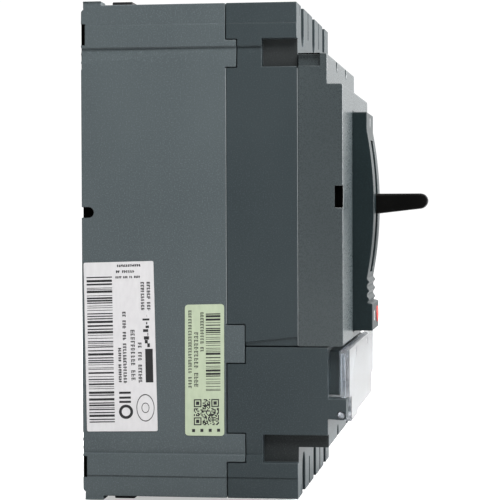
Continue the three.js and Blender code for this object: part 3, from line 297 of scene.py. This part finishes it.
def clearPlastic(name):
    # clear moulded lid: nearly all light passes, with faint haze from the mould
    material, tree, shader = newMaterial(name)
    haze = noiseOf(tree, 60, 3.0)
    tree.links.new(mixed(tree, spread(tree, haze, 0, 1), (0.80, 0.84, 0.90), (0.86, 0.89, 0.93)),
                   shader.inputs["Base Color"])
    tree.links.new(spread(tree, haze, 0.05, 0.12), shader.inputs["Roughness"])
    shader.inputs["Transmission Weight"].default_value = 0.96
    shader.inputs["IOR"].default_value = 1.49
    shader.inputs["Specular IOR Level"].default_value = 0.25
    bumped(tree, shader, noiseOf(tree, 140, 2.0), 0.00003, 0.4)
    return material


finishes = {name: mouldedPlastic(name, **look) for name, look in plastics.items()}
finishes.update({name: workedMetal(name, **look) for name, look in metals.items()})
finishes["whiteFilm"] = printedFilm("whiteFilm", (0.70, 0.69, 0.70), (0.75, 0.74, 0.75))
finishes["greenFilm"] = printedFilm("greenFilm", (0.48, 0.56, 0.40), (0.53, 0.61, 0.44))
finishes["greyFilm"] = printedFilm("greyFilm", (0.20, 0.21, 0.22), (0.24, 0.25, 0.26))
finishes["darkInk"] = printedFilm("darkInk", (0.010, 0.010, 0.011), (0.022, 0.022, 0.024))
finishes["whiteInk"] = printedFilm("whiteInk", (0.62, 0.62, 0.62), (0.72, 0.72, 0.72))
finishes["clearPlastic"] = clearPlastic("clearPlastic")
print("materials:", len(finishes))


# finishes of the CAD pieces that stay as they are

slotFinish = {
    "case_grey": "baseGrey", "cover_grey": "coverGrey", "escutcheon_black": "noseBlack",
    "clear_plastic": "clearPlastic", "label_white": "whiteFilm", "label_green": "greenFilm",
    "handle_black": "handleBlack", "zinc_steel": "zincSteel", "bright_steel": "brightSteel",
    "spring_steel": "springSteel", "dial_grey": "dialGrey", "button_red": "buttonRed",
    "rotor_resin": "rotorResin", "copper": "copper", "chute_steel": "chuteSteel",
    "tinned_copper": "tinnedCopper", "clip_black": "clipBlack",
}
slotOf = {part["node"]: part["material_slot"] for part in frame["record"]["subparts"]}
bodyOf = {node: body for body, members in frame["record"]["behaviour"]["bodies"].items() for node in members}
for node, part in nodes.items():
    part.data.materials.clear()
    part.data.materials.append(finishes[slotFinish[slotOf[node]]])


# shared mesh making

def newObject(name, mesh, finish):
    # the mesh as an object of the scene, at the origin, with one finish
    made = bpy.data.objects.new(name, mesh)
    mesh.materials.append(finishes[finish])
    bpy.context.scene.collection.objects.link(made)
    return made


def settle(piece, body, slot, *replaced):
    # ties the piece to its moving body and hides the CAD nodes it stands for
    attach(piece, body)
    if replaced:
        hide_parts(*replaced)
    return piece


def smoothByAngle(mesh, degrees=32):
    # smooth shading, with edges sharper than the angle left crisp
    mesh.polygons.foreach_set("use_smooth", np.ones(len(mesh.polygons), bool))
    mesh.set_sharp_from_angle(angle=math.radians(degrees))


def tidyMesh(mesh, mergeWithin=2e-6):
    # points closer than the distance become one, and all faces turn outwards
    work = bmesh.new()
    work.from_mesh(mesh)
    bmesh.ops.remove_doubles(work, verts=work.verts, dist=mergeWithin)
    bmesh.ops.recalc_face_normals(work, faces=work.faces)
    work.to_mesh(mesh)
    work.free()


def softEdges(piece, width, segments=2, angle=35):
    # a bevel on every edge sharper than the angle, shaded so that the large faces stay flat
    bevel = piece.modifiers.new("softEdges", "BEVEL")
    bevel.width, bevel.segments = width, segments
    bevel.limit_method, bevel.angle_limit = "ANGLE", math.radians(angle)
    bevel.use_clamp_overlap = False
    bevel.miter_outer = "MITER_ARC"
    even = piece.modifiers.new("evenShading", "WEIGHTED_NORMAL")
    even.keep_sharp = True


def softenedCopy(node, name, finish, width, smoothBelow=30):
    # the CAD shape merged, its flat faces made whole, and every corner rounded by a small bevel
    mesh = nodes[node].data.copy()
    mesh.materials.clear()
    work = bmesh.new()
    work.from_mesh(mesh)
    bmesh.ops.remove_doubles(work, verts=work.verts, dist=2e-6)
    bmesh.ops.dissolve_limit(work, angle_limit=math.radians(0.5), verts=work.verts, edges=work.edges)
    # rims that look backwards are split where they turn, so that they fill the rim and not the opening in it
    rims = [face for face in work.faces if face.normal.y > 0.9]
    bmesh.ops.connect_verts_concave(work, faces=rims)
    work.to_mesh(mesh)
    work.free()
    mesh.name = name
    smoothByAngle(mesh, smoothBelow)
    piece = newObject(name, mesh, finish)
    softEdges(piece, width)
    return settle(piece, bodyOf[node], slotOf[node], node)


def gridMesh(name, grid, wrap=True, capped=True):
    # grid[i, j] is a point for each step i along and j around; neighbours make quads, ends are capped
    rows, columns = grid.shape[:2]
    along = np.arange(rows - 1)[:, None] * columns
    around = np.arange(columns if wrap else columns - 1)[None, :]
    first, second = along + around, along + (around + 1) % columns
    faces = np.stack([first, second, second + columns, first + columns], -1).reshape(-1, 4).tolist()
    if capped:
        faces.append(list(range(columns)))
        faces.append(list(range((rows - 1) * columns, rows * columns)))
    mesh = bpy.data.meshes.new(name)
    mesh.from_pydata(grid.reshape(-1, 3).tolist(), [], faces)
    tidyMesh(mesh)
    return mesh


def turned(name, profile, centre, sides=48, capped=True):
    # profile rows are (radius, depth from the back plane); the radius is carried round the front axis
    profile = np.array(profile, float)
    angle = np.linspace(0, 2 * np.pi, sides, endpoint=False)
    x = centre[0] + profile[:, :1] * np.cos(angle)
    z = centre[1] + profile[:, :1] * np.sin(angle)
    y = np.broadcast_to(-profile[:, 1:], x.shape)
    return gridMesh(name, np.stack([x, y, z], -1) * mm, capped=capped)


def roundedRim(corners, rounding, steps=6):
    # a four-cornered outline with each corner drawn as a curve that starts and ends this far from it
    corners = np.array(corners, float)
    before, after = np.roll(corners, 1, 0) - corners, np.roll(corners, -1, 0) - corners
    before /= np.linalg.norm(before, axis=1, keepdims=True)
    after /= np.linalg.norm(after, axis=1, keepdims=True)
    t = np.linspace(0, 1, steps)[None, :, None]
    start, end = corners + before * rounding, corners + after * rounding
    curves = (1 - t) ** 2 * start[:, None] + 2 * t * (1 - t) * corners[:, None] + t ** 2 * end[:, None]
    return curves.reshape(-1, 2)


def blocks(name, lows, highs):
    # one mesh of many small closed boxes, from arrays of their lowest and highest corners
    lows, highs = np.asarray(lows, float), np.asarray(highs, float)
    pick = np.array([[i & 1, i >> 1 & 1, i >> 2 & 1] for i in range(8)])
    corners = lows[:, None, :] * (1 - pick) + highs[:, None, :] * pick
    sides = np.array([[0, 4, 6, 2], [1, 3, 7, 5], [0, 1, 5, 4], [2, 6, 7, 3], [0, 2, 3, 1], [4, 5, 7, 6]])
    faces = (np.arange(len(lows))[:, None, None] * 8 + sides).reshape(-1, 4)
    mesh = bpy.data.meshes.new(name)
    mesh.from_pydata((corners.reshape(-1, 3)).tolist(), [], faces.tolist())
    return mesh


# case pieces

caseEdges = {  # node: finish, rounding in metres
    "base": ("baseGrey", 0.00025),
    "upper_cover": ("coverGrey", 0.00025),
    "front_frame": ("frameGrey", 0.00025),
    "trip_unit_case": ("coverGrey", 0.00025),
    "toggle_escutcheon": ("noseBlack", 0.0003),
    "sealing_cover": ("clearPlastic", 0.0002),
    "slot_shutter": ("handleBlack", 0.0002),
}
paintedShadeRooms = {  # node: second finish, the painted shade, and boxes of |width|, depth and height in mm that take it
    "base": ("paintedShadeBlack", [((49, 53), (-1, 4.2), (10.9, 14.5)), ((49, 53), (-1, 1.4), (67.3, 74.5)),
                           ((49, 53), (-1, 1.4), (-74.5, -67.3))]),
    "upper_cover": ("paintedPocketShade", [((49.4, 52.4), (59.7, 71.3), (59.6, 68.9))]),
    "front_frame": ("paintedShadeBlack", [((50.0, 53), (83.2, 86.2), (13.9, 21.1))]),
    "trip_unit_case": ("paintedPocketShade", [((49.4, 52.4), (59.7, 81.1), (-68.9, -59.6))]),
}


def paintShadeIntoRooms(piece, finish, rooms):
    # a face takes the second finish, a dark colour painted as the shade inside a recess or slot, when all its
    # corners lie in one of the boxes
    mesh = piece.data
    mesh.materials.append(finishes[finish])
    points = np.empty(len(mesh.vertices) * 3)
    mesh.vertices.foreach_get("co", points)
    points = points.reshape(-1, 3) / mm
    measures = np.stack([np.abs(points[:, 0]), -points[:, 1], points[:, 2]], -1)
    corners, starts = np.empty(len(mesh.loops), int), np.empty(len(mesh.polygons), int)
    mesh.loops.foreach_get("vertex_index", corners)
    mesh.polygons.foreach_get("loop_start", starts)
    chosen = np.zeros(len(mesh.polygons), int)
    for room in rooms:
        low, high = np.array(room).T
        inside = ((measures > low) & (measures < high)).all(1)
        chosen |= np.minimum.reduceat(inside[corners].astype(int), starts)
    mesh.polygons.foreach_set("material_index", chosen)
    print(piece.name, "darkened faces:", int(chosen.sum()))


for node, (finish, width) in caseEdges.items():
    shell = softenedCopy(node, node + "_shell", finish, width)
    # faces in recesses and slots take a dark finish that paints in their shade
    if node in paintedShadeRooms:
        paintShadeIntoRooms(shell, *paintedShadeRooms[node])
print("case pieces softened")


# side labels

sideX = -52.5  # the near side face, in mm
labelLayers = {  # in mm off the side face
    "filmBack": 0.05, "filmFront": 0.215, "inkBack": 0.205, "inkFront": 0.24,
}
ratingLabel = {
    "corners": [(0.6, -3.8), (23.9, -3.2), (25.1, -58.9), (1.5, -59.3)],
    "bars": (0.9, 3.9, 9.4, 52.6, 52),
    "lines": [(10.6, 0.9, 19.3, 1.6), (10.8, 2.8, 17.4, 3.6), (10.6, 4.7, 19.3, 5.3)],
    "columns": [
        (18.9, 6.8, 20.0, 16.4), (20.9, 6.8, 22.0, 16.4), (12.6, 16.4, 13.7, 40.4), (15.2, 22.4, 16.6, 40.4),
        (17.6, 26.6, 18.8, 40.4), (11.0, 28.2, 11.9, 40.4), (20.7, 40.9, 22.6, 42.2),
    ],
    "wave": (19.2, 17.6, 27.6, 9),
    "blocks": [(20.0, 28.7, 22.5, 39.7)],
    "dashes": [(11.0, 42.6, 14.9, 43.3), (11.0, 44.2, 14.9, 44.9), (11.0, 45.6, 14.9, 46.3)],
    "ring": (13.2, 49.2, 1.45, 2.35),
    "oval": (19.7, 48.0, 3.0, 4.5),
    "ovalBand": 0.22,
    "eye": (1.1, 1.3),
    "rounding": 0.6,
}
traceLabel = {
    "corners": [(34.3, -17.5), (47.2, -17.2), (47.1, -60.2), (34.2, -60.2)],
    "bars": (6.9, 2.6, 11.7, 28.2, 32),
    "columns": [(5.1, 2.6, 6.2, 17.4), (3.0, 9.1, 4.4, 27.4), (1.1, 1.9, 2.2, 27.8)],
    "dots": (2.9, 30.9, 11.2, 39.4, 23),
    "marks": (2.3, 40.6, 2.75, 1.0, 4),
    "rounding": 1.2,
}
draw = np.random.default_rng(7)


def barColumn(u0, v0, u1, v1, count):
    # stripes across a column; widths drawn at random and scaled so that they fill it
    widths = draw.choice([1, 1, 2, 2, 3, 4], 2 * count) + 0.0
    widths[0::2] += 0.5
    stops = v0 + (v1 - v0) * np.cumsum(widths) / widths.sum()
    low, high = stops[0:-1:2], stops[1::2]
    return np.stack([np.full(count, u0), low, np.full(count, u1), high], 1)


def printColumn(u0, v0, u1, v1, fine=1.0):
    # a stem and three strokes of random length in each cell stand for one character, with a gap now and then
    stroke = 0.26 * fine
    size = (u1 - u0) * 0.86
    count = int((v1 - v0) / size)
    cell = v0 + size * np.arange(count)[draw.random(count) > 0.12]
    rows = []
    for share in (0.05, 0.42, 0.78):
        start = u0 + (u1 - u0) * share
        reach = size * draw.uniform(0.35, 0.8, len(cell))
        shift = size * draw.uniform(0, 0.15, len(cell))
        rows.append(np.stack([np.full(len(cell), start), cell + shift, np.full(len(cell), start + stroke),
                              cell + shift + reach], 1))
    stem = np.stack([np.full(len(cell), u0), cell, np.full(len(cell), u1), cell + stroke], 1)
    return np.concatenate(rows + [stem])


def printLine(u0, v0, u1, v1):
    # a column laid on its side
    turned90 = printColumn(v0, u0, v1, u1)
    return turned90[:, [1, 0, 3, 2]]


def dotField(u0, v0, u1, v1, count):
    # a square field of dots, filled at random, with three solid-framed corners
    cells = draw.random((count, count)) > 0.5
    ring = np.ones((7, 7), bool)
    ring[1:6, 1:6] = False
    ring[2:5, 2:5] = True
    for i, j in ((0, 0), (0, count - 8), (count - 8, 0)):
        cells[i:i + 8, j:j + 8] = False
    cells[:7, :7] = ring
    cells[:7, -7:] = ring
    cells[-7:, :7] = ring
    i, j = np.nonzero(cells)
    du, dv = (u1 - u0) / count, (v1 - v0) / count
    return np.stack([u0 + i * du, v0 + j * dv, u0 + (i + 1) * du, v0 + (j + 1) * dv], 1)


def ringBand(centreU, centreV, inner, outer, stretch=1.0, sides=40):
    # corners of a flat ring: radius from inner to outer, the second axis stretched
    angle = np.linspace(0, 2 * np.pi, sides, endpoint=False)
    radii = np.array([inner, outer])[:, None]
    u = centreU + radii * np.cos(angle)
    v = centreV + radii * stretch * np.sin(angle)
    return np.stack([u, v], -1)


def onLabel(corners, points):
    # local (along, down) in mm from the first corner, skewed as the label was stuck on
    first, second, last = (np.array(corners[i]) for i in (0, 1, 3))
    acrossWay = (second - first) / np.linalg.norm(second - first)
    downWay = (last - first) / np.linalg.norm(last - first)
    return first + points[..., 0:1] * acrossWay + points[..., 1:2] * downWay


def inkMesh(name, corners, marks, bands, back, front):
    # each mark is a box from back to front with its four corners laid on the label
    marks = np.asarray(marks)
    square = np.stack([marks[:, [0, 1]], marks[:, [2, 1]], marks[:, [2, 3]], marks[:, [0, 3]]], 1)
    flat = onLabel(corners, square)
    count = len(marks)
    outer = np.concatenate([np.full((count, 4, 1), front), -flat[..., :1], flat[..., 1:]], -1)
    inner = outer.copy()
    inner[..., 0] = back
    points = np.concatenate([outer, inner], 1).reshape(-1, 3)
    sides = np.array([[0, 1, 2, 3], [7, 6, 5, 4], [4, 5, 1, 0], [5, 6, 2, 1], [6, 7, 3, 2], [7, 4, 0, 3]])
    faces = (np.arange(count)[:, None, None] * 8 + sides).reshape(-1, 4).tolist()
    for band in bands:
        sidesOfBand = band.shape[1]
        ring = onLabel(corners, band)
        layers = [np.concatenate([np.full((2, sidesOfBand, 1), x), -ring[..., :1], ring[..., 1:]], -1)
                  for x in (front, back)]
        start = len(points)
        points = np.concatenate([points, np.stack(layers).reshape(-1, 3)])
        step = np.arange(sidesOfBand)
        after = (step + 1) % sidesOfBand
        for one, two in ((0, 1), (3, 2), (1, 3), (2, 0)):
            quads = np.stack([one * sidesOfBand + step, one * sidesOfBand + after,
                              two * sidesOfBand + after, two * sidesOfBand + step], 1)
            faces += (start + quads).tolist()
    mesh = bpy.data.meshes.new(name)
    mesh.from_pydata((points * mm).tolist(), [], faces)
    work = bmesh.new()
    work.from_mesh(mesh)
    bmesh.ops.recalc_face_normals(work, faces=work.faces)
    work.to_mesh(mesh)
    work.free()
    return mesh


def filmMesh(name, corners, rounding, back, front):
    # the rounded outline stretched between two planes along the side
    rim = roundedRim(corners, rounding)
    layers = [np.concatenate([np.full((len(rim), 1), x), -rim[:, :1], rim[:, 1:]], 1) for x in (front, back)]
    return gridMesh(name, np.stack(layers) * mm)


def stickLabel(name, node, look, film, marks, bands):
    # a film on the side face, with all its print as one piece that stands a hair proud of it
    sheet = filmMesh(name + "_film", look["corners"], look["rounding"], sideX - labelLayers["filmBack"],
                     sideX - labelLayers["filmFront"])
    settle(newObject(name + "_film", sheet, film), "housing", slotOf[node], node)
    printed = inkMesh(name + "_print", look["corners"], marks, bands, sideX - labelLayers["inkBack"],
                      sideX - labelLayers["inkFront"])
    settle(newObject(name + "_print", printed, "darkInk"), "housing", slotOf[node])
    print(name, "with", len(marks), "printed marks")


def waveColumn(u, v0, v1, count):
    # a run of short dashes whose ends swing by a sine on one side and a cosine on the other
    steps = np.linspace(v0, v1, count)
    return np.stack([u + 0.9 + 0.8 * np.sin(steps * 1.9), v0 + (steps - v0) * 0.93,
                     u + 2.0 + 0.5 * np.cos(steps * 2.3), steps + 0.55], 1)


def addRatingLabel(look):
    # the white label: a bar column, dashes and strokes, a ring, and an oval with an eye
    marks = [barColumn(*look["bars"]), look["blocks"], waveColumn(*look["wave"])]
    marks += [printLine(*row) for row in look["lines"]]
    marks += [printColumn(*column) for column in look["columns"]]
    marks.append(look["dashes"])
    u, v, half, tall = look["oval"]
    eyeInner, eyeOuter = look["eye"]
    bands = [ringBand(*look["ring"]), ringBand(u, v, half - look["ovalBand"], half, tall / half),
             ringBand(u, v, eyeInner, eyeOuter, eyeOuter)]
    stickLabel("rating_label", "side_rating_label", look, "whiteFilm", np.concatenate(marks), bands)


def addTraceLabel(look):
    # the green label: a bar column, a dot field and a row of small squares
    left, top, pitch, size, count = look["marks"]
    squares = left + pitch * np.arange(count)
    squareMarks = np.stack([squares, np.full(count, top), squares + size, np.full(count, top + size)], 1)
    marks = [barColumn(*look["bars"]), dotField(*look["dots"]), squareMarks]
    marks += [printColumn(*column, 0.8) for column in look["columns"]]
    stickLabel("trace_label", "side_trace_label", look, "greenFilm", np.concatenate(marks), [])


addRatingLabel(ratingLabel)
addTraceLabel(traceLabel)


# thin pale strips at the case joints, painted highlights where the joint edges catch the light

jointHighlights = {  # pairs of depths, pairs of heights in mm; each stands a little under the side face
    "spans": [((47.86, 48.04), (-23.6, 59.3)), ((71.26, 71.44), (-30.6, 59.0))],
    "sunk": 0.06,
    "thick": 0.5,
}


def addJointHighlights(spans, sunk, thick):
    # a thin pale strip in each joint, on both sides of the case: a painted highlight of the lit edge
    lows, highs = [], []
    for side in (-1, 1):
        for (d0, d1), (z0, z1) in spans:
            x = sorted((side * (-sideX - sunk), side * (-sideX - sunk - thick)))
            lows.append((x[0], -d1, z0))
            highs.append((x[1], -d0, z1))
    mesh = blocks("joint_highlights", np.array(lows) * mm, np.array(highs) * mm)
    settle(newObject("joint_highlights", mesh, "paintedEdgeHighlight"), "housing", "cover_grey")


addJointHighlights(**jointHighlights)


# toggle

toggle = {
    "back": 80.6, "neck": 93.3, "reach": 111.0, "width": 9.0, "rootHigh": 7.0, "tipHigh": 5.0, "pivotZ": 15.4,
    "waist": 0.35, "square": 9.0, "rows": 70, "columns": 72,
}


def makeToggle(back, neck, reach, width, rootHigh, tipHigh, pivotZ, waist, square, rows, columns):
    # each section is a superellipse; its height falls from root to tip along the top edge,
    # its sides draw in at the grip, and both close on a half circle at the tip
    depth = np.concatenate([np.linspace(back, reach - tipHigh / 2, rows - 20),
                            reach - tipHigh / 2 + tipHigh / 2 * np.sin(np.linspace(0.08, np.pi / 2, 20))])
    along = np.clip((depth - neck) / (reach - neck), 0, 1)
    high = rootHigh + (tipHigh - rootHigh) * along
    end = np.clip((depth - (reach - tipHigh / 2)) / (tipHigh / 2), 0, 1)
    closing = np.sqrt(np.clip(1 - end ** 2, 0, 1))
    halfHigh = high / 2 * closing + 0.01
    grip = waist * np.sin(np.pi * np.clip((depth - neck) / (reach - neck - 3), 0, 1)) ** 2
    halfWide = (width / 2 - grip) - (1 - closing) * 0.8
    middle = pivotZ + (rootHigh - high) / 2  # the top edge stays level while the lower edge rises
    angle = np.linspace(0, 2 * np.pi, columns, endpoint=False)
    power = 2 / square
    x = halfWide[:, None] * np.sign(np.cos(angle)) * np.abs(np.cos(angle)) ** power
    z = middle[:, None] + halfHigh[:, None] * np.sign(np.sin(angle)) * np.abs(np.sin(angle)) ** power
    y = np.broadcast_to(-depth[:, None], x.shape)
    mesh = gridMesh("toggle_lever", np.stack([x, y, z], -1) * mm)
    smoothByAngle(mesh, 50)
    return mesh


lever = newObject("toggle_lever", makeToggle(**toggle), "handleBlack")
settle(lever, "handle", "handle_black", "toggle_handle")
print("labels and toggle done")


# turned pins and rods

pins = {  # node: radius, half length, middle x, depth, height in mm, finish
    "yoke_pivot_pin": (2.0, 15.45, 0, 45.0, 15.4, "brightSteel"),
    "cradle_pin": (2.0, 13.8, 0, 48.0, -6.0, "brightSteel"),
}


def rodAlongX(name, radius, half, middle, depth, z, sides=40):
    # profile = a cylinder with a chamfer of an eighth of its radius at both ends, carried round the x axis
    bite = radius * 0.12
    profile = np.array([(0.001, -half), (radius - bite, -half), (radius, -half + bite), (radius, half - bite),
                        (radius - bite, half), (0.001, half)])
    angle = np.linspace(0, 2 * np.pi, sides, endpoint=False)
    x = np.repeat(middle + profile[:, 1:2], sides, 1)
    y = -depth + profile[:, 0:1] * np.cos(angle)
    high = z + profile[:, 0:1] * np.sin(angle)
    return gridMesh(name, np.stack([x, y, high], -1) * mm)


for node, (radius, half, middle, depth, z, finish) in pins.items():
    mesh = rodAlongX(node + "_turned", radius, half, middle, depth, z)
    smoothByAngle(mesh)
    settle(newObject(node + "_turned", mesh, finish), bodyOf[node], slotOf[node], node)
driveRodRadius = 2.0
for node in ("drive_rod_front", "drive_rod_rear"):
    low, high = (np.array(corner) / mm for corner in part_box(node))
    middle = (low + high) / 2
    half = (high[0] - low[0]) / 2
    mesh = rodAlongX(node + "_turned", driveRodRadius, half, middle[0], -middle[1], middle[2])
    smoothByAngle(mesh)
    settle(newObject(node + "_turned", mesh, "brightSteel"), bodyOf[node], slotOf[node], node)


# springs

springs = {  # node: start and end as x, depth, height; radius of the coil, wire radius, turns
    "main_spring_left": ((-7.5, 77.2, 15.4), (-7.5, 59.0, 9.0), 2.0, 0.45, 8),
    "main_spring_right": ((7.5, 77.2, 15.4), (7.5, 59.0, 9.0), 2.0, 0.45, 8),
    "button_spring": ((7.0, 83.95, -23.3), (7.0, 87.7, -23.3), 2.5, 0.33, 4),
}


def coilMesh(name, start, end, radius, wire, turns, stepsPerTurn=28, sides=10):
    # wire centre = axis point + radius at the winding angle; its section lies across the winding direction,
    # and a small sine slows the climb at both ends, where the turns lie closer
    start, end = (np.array((p[0], -p[1], p[2])) for p in (start, end))
    axis = (end - start) / np.linalg.norm(end - start)
    first = np.array((1.0, 0.0, 0.0))
    second = np.cross(axis, first)
    count = int(turns * stepsPerTurn) + 1
    t = np.linspace(0, 1, count)
    rise = t - 0.05 * np.sin(2 * np.pi * t) * np.exp(-2 * (t - 0.5) ** 2)
    angle = 2 * np.pi * turns * t
    outward = np.cos(angle)[:, None] * first + np.sin(angle)[:, None] * second
    centre = start + (end - start) * rise[:, None] + radius * outward
    tangent = np.gradient(centre, axis=0)
    tangent /= np.linalg.norm(tangent, axis=1, keepdims=True)
    side = np.cross(tangent, outward)
    around = np.linspace(0, 2 * np.pi, sides, endpoint=False)
    grid = (centre[:, None] + wire * (np.cos(around)[None, :, None] * outward[:, None]
                                      + np.sin(around)[None, :, None] * side[:, None]))
    mesh = gridMesh(name, grid * mm)
    smoothByAngle(mesh, 60)
    return mesh


for node, (start, end, radius, wire, turns) in springs.items():
    coil = newObject(node + "_wire", coilMesh(node + "_wire", start, end, radius, wire, turns), "springSteel")
    settle(coil, bodyOf[node], slotOf[node], node)
    if node == "button_spring":
        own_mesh(coil)
print("pins and springs done")


# the other pieces, with their edges broken

brokenEdges = {  # start of the node name: rounding in metres
    "toggle_yoke": 0.0003, "mechanism_plate": 0.0002, "cradle": 0.0002, "upper_link": 0.0003,
    "lower_link": 0.0002, "rotor": 0.0003, "moving_contact": 0.0003, "line_arc_chute": 0.0001,
    "load_arc_chute": 0.0001, "line_terminal": 0.0003, "load_contact": 0.0003, "load_terminal": 0.0003,
    "line_nut_clip": 0.0003, "load_nut_clip": 0.0003, "bimetal": 0.0002, "armature": 0.0002,
    "trip_bar": 0.0003, "long_time_dial": 0.0002, "instantaneous_dial": 0.0002,
}
for node in nodes:
    width = next((width for start, width in brokenEdges.items() if node.startswith(start)), None)
    if width and node not in pins:
        softenedCopy(node, node + "_finished", slotFinish[slotOf[node]], width)


# push button

button = {
    "x": 7.0, "z": -23.3, "radius": 2.8, "front": 93.1, "seat": 90.0, "flange": 3.4, "flangeBack": 88.4,
    "stem": 1.5, "back": 71.3,
}


def makeButton(x, z, radius, front, seat, flange, flangeBack, stem, back):
    # radius and depth pairs from the dished front to the stem, carried round the front axis
    profile = [(0.001, front - 0.45), (radius * 0.5, front - 0.3), (radius - 0.7, front - 0.05),
               (radius - 0.35, front), (radius - 0.08, front - 0.15), (radius, front - 0.4), (radius, seat),
               (flange, seat), (flange, flangeBack), (stem, flangeBack), (stem, back + 0.2),
               (stem - 0.2, back), (0.001, back)]
    mesh = turned("push_button", profile, (x, z))
    smoothByAngle(mesh, 40)
    return mesh


pusher = newObject("push_button", makeButton(**button), "buttonRed")
settle(pusher, "trip_button", "button_red", "push_to_trip_button")


# marks on the front

frontPlate = {
    "x": (19.5, 48.5), "z": (-22.0, 46.0), "depth": (86.0, 86.08), "inkDepth": (86.05, 86.12),
    "rounding": 1.2,
    "margin": 1.0, "firstLine": 41.5, "lineStep": 4.4, "lineHigh": 1.4,
    "lengths": (18, 24, 12, 22, 22, 16, 22, 20, 24, 12, 18, 22, 20, 16),
}
dialScale = {
    "dialsX": (-26.0, -9.0), "dialsZ": -40.0, "radius": (4.9, 5.9), "depth": (84.4, 84.46),
    "ticks": 9, "sweep": 240.0, "width": 0.28,
}
onMark = {"bar": (-0.35, 42.0, 0.35, 45.2), "depth": (90.88, 90.96)}
offMark = {"centre": (-6.0, -23.3), "radius": (1.25, 1.75), "depth": (92.68, 92.76), "sides": 40}


def frontMarks(name, rows, depth, finish, slotName):
    # rows are x0, z0, x1, z1 boxes printed on a front plane
    rows = np.asarray(rows, float)
    lows = np.stack([np.minimum(rows[:, 0], rows[:, 2]), np.full(len(rows), -depth[1]),
                     np.minimum(rows[:, 1], rows[:, 3])], 1)
    highs = np.stack([np.maximum(rows[:, 0], rows[:, 2]), np.full(len(rows), -depth[0]),
                      np.maximum(rows[:, 1], rows[:, 3])], 1)
    return settle(newObject(name, blocks(name, lows * mm, highs * mm), finish), "housing", slotName)


def addFrontPlate(look):
    # a rounded film on the front frame, with lines of strokes counted down from the first one
    (left, right), (foot, top) = look["x"], look["z"]
    rim = roundedRim([(left, foot), (right, foot), (right, top), (left, top)], look["rounding"])
    layers = [np.stack([rim[:, 0], np.full(len(rim), -d), rim[:, 1]], 1) for d in look["depth"]]
    plate = gridMesh("front_plate", np.stack(layers) * mm)
    settle(newObject("front_plate", plate, "greyFilm"), "housing", "label_white")
    rows = []
    for line, length in enumerate(look["lengths"]):
        z = look["firstLine"] - look["lineStep"] * line
        strokes = printColumn(z - look["lineHigh"], look["margin"], z, look["margin"] + length)
        rows.append(np.stack([left + strokes[:, 1], strokes[:, 0], left + strokes[:, 3], strokes[:, 2]], 1))
    frontMarks("front_plate_print", np.concatenate(rows), look["inkDepth"], "darkInk", "label_white")


def addOffMark(centre, radius, depth, sides):
    # a flat ring: the four corners of its section carried round the front axis
    (inner, outer), (back, front) = radius, depth
    section = [(inner, back), (inner, front), (outer, front), (outer, back), (inner, back)]
    ring = turned("off_mark", section, centre, sides, capped=False)
    settle(newObject("off_mark", ring, "whiteInk"), "housing", "escutcheon_black")


def addDialScales(dialsX, dialsZ, radius, depth, ticks, sweep, width):
    # each tick is a box that points away from its dial's axis, evenly spaced over the sweep
    angle = np.radians(np.linspace(-sweep / 2, sweep / 2, ticks))
    (inner, outer), (back, front) = radius, depth
    way = np.stack([np.sin(angle), np.cos(angle)], 1)
    across = np.stack([np.cos(angle), -np.sin(angle)], 1) * width / 2
    near, far = way * inner, way * outer
    square = np.stack([near - across, near + across, far + across, far - across], 1)
    flat = np.concatenate([np.array((x, dialsZ)) + square for x in dialsX])
    planes = [np.stack([flat[..., 0], np.full(flat.shape[:2], -d), flat[..., 1]], -1) for d in (front, back)]
    points = np.concatenate(planes, 1).reshape(-1, 3)
    sides = np.array([[0, 1, 2, 3], [7, 6, 5, 4], [4, 5, 1, 0], [5, 6, 2, 1], [6, 7, 3, 2], [7, 4, 0, 3]])
    faces = (np.arange(len(flat))[:, None, None] * 8 + sides).reshape(-1, 4)
    mesh = bpy.data.meshes.new("dial_scales")
    mesh.from_pydata((points * mm).tolist(), [], faces.tolist())
    tidyMesh(mesh, 1e-7)
    settle(newObject("dial_scales", mesh, "whiteInk"), "housing", "dial_grey")


addFrontPlate(frontPlate)
frontMarks("on_mark", [onMark["bar"]], onMark["depth"], "whiteInk", "escutcheon_black")
addOffMark(**offMark)
addDialScales(**dialScale)
print("front details done")


# floor

floorLook = {
    "half": 4.0, "under": 0.0002, "tones": ((0.84, 0.84, 0.84), (0.87, 0.87, 0.87)),
    "reflected": (0.46, 0.46, 0.46),
    "rough": 0.8, "glow": 0.5,
}


def addFloor(half, under, tones, reflected, rough, glow):
    # white and glowing for the lens, duller in reflections, so that it does not light the part from below
    mesh = bpy.data.meshes.new("floor")
    low = cadBox[0][2] - under
    mesh.from_pydata([(-half, -half, low), (half, -half, low), (half, half, low), (-half, half, low)], [],
                     [(0, 1, 2, 3)])
    material, tree, shader = newMaterial("paleFloor")
    path = tree.nodes.new("ShaderNodeLightPath")
    tone = mixed(tree, noiseOf(tree, 3, 2.0), *tones)
    tree.links.new(mixed(tree, path.outputs["Is Camera Ray"], reflected, tone), shader.inputs["Base Color"])
    shader.inputs["Roughness"].default_value = rough
    shader.inputs["Emission Color"].default_value = (1, 1, 1, 1)
    shown = tree.nodes.new("ShaderNodeMath")
    shown.operation = "MULTIPLY"
    shown.inputs[1].default_value = glow
    tree.links.new(path.outputs["Is Camera Ray"], shown.inputs[0])
    tree.links.new(shown.outputs["Value"], shader.inputs["Emission Strength"])
    mesh.materials.append(material)
    floor = bpy.data.objects.new("floor", mesh)
    bpy.context.scene.collection.objects.link(floor)


addFloor(**floorLook)
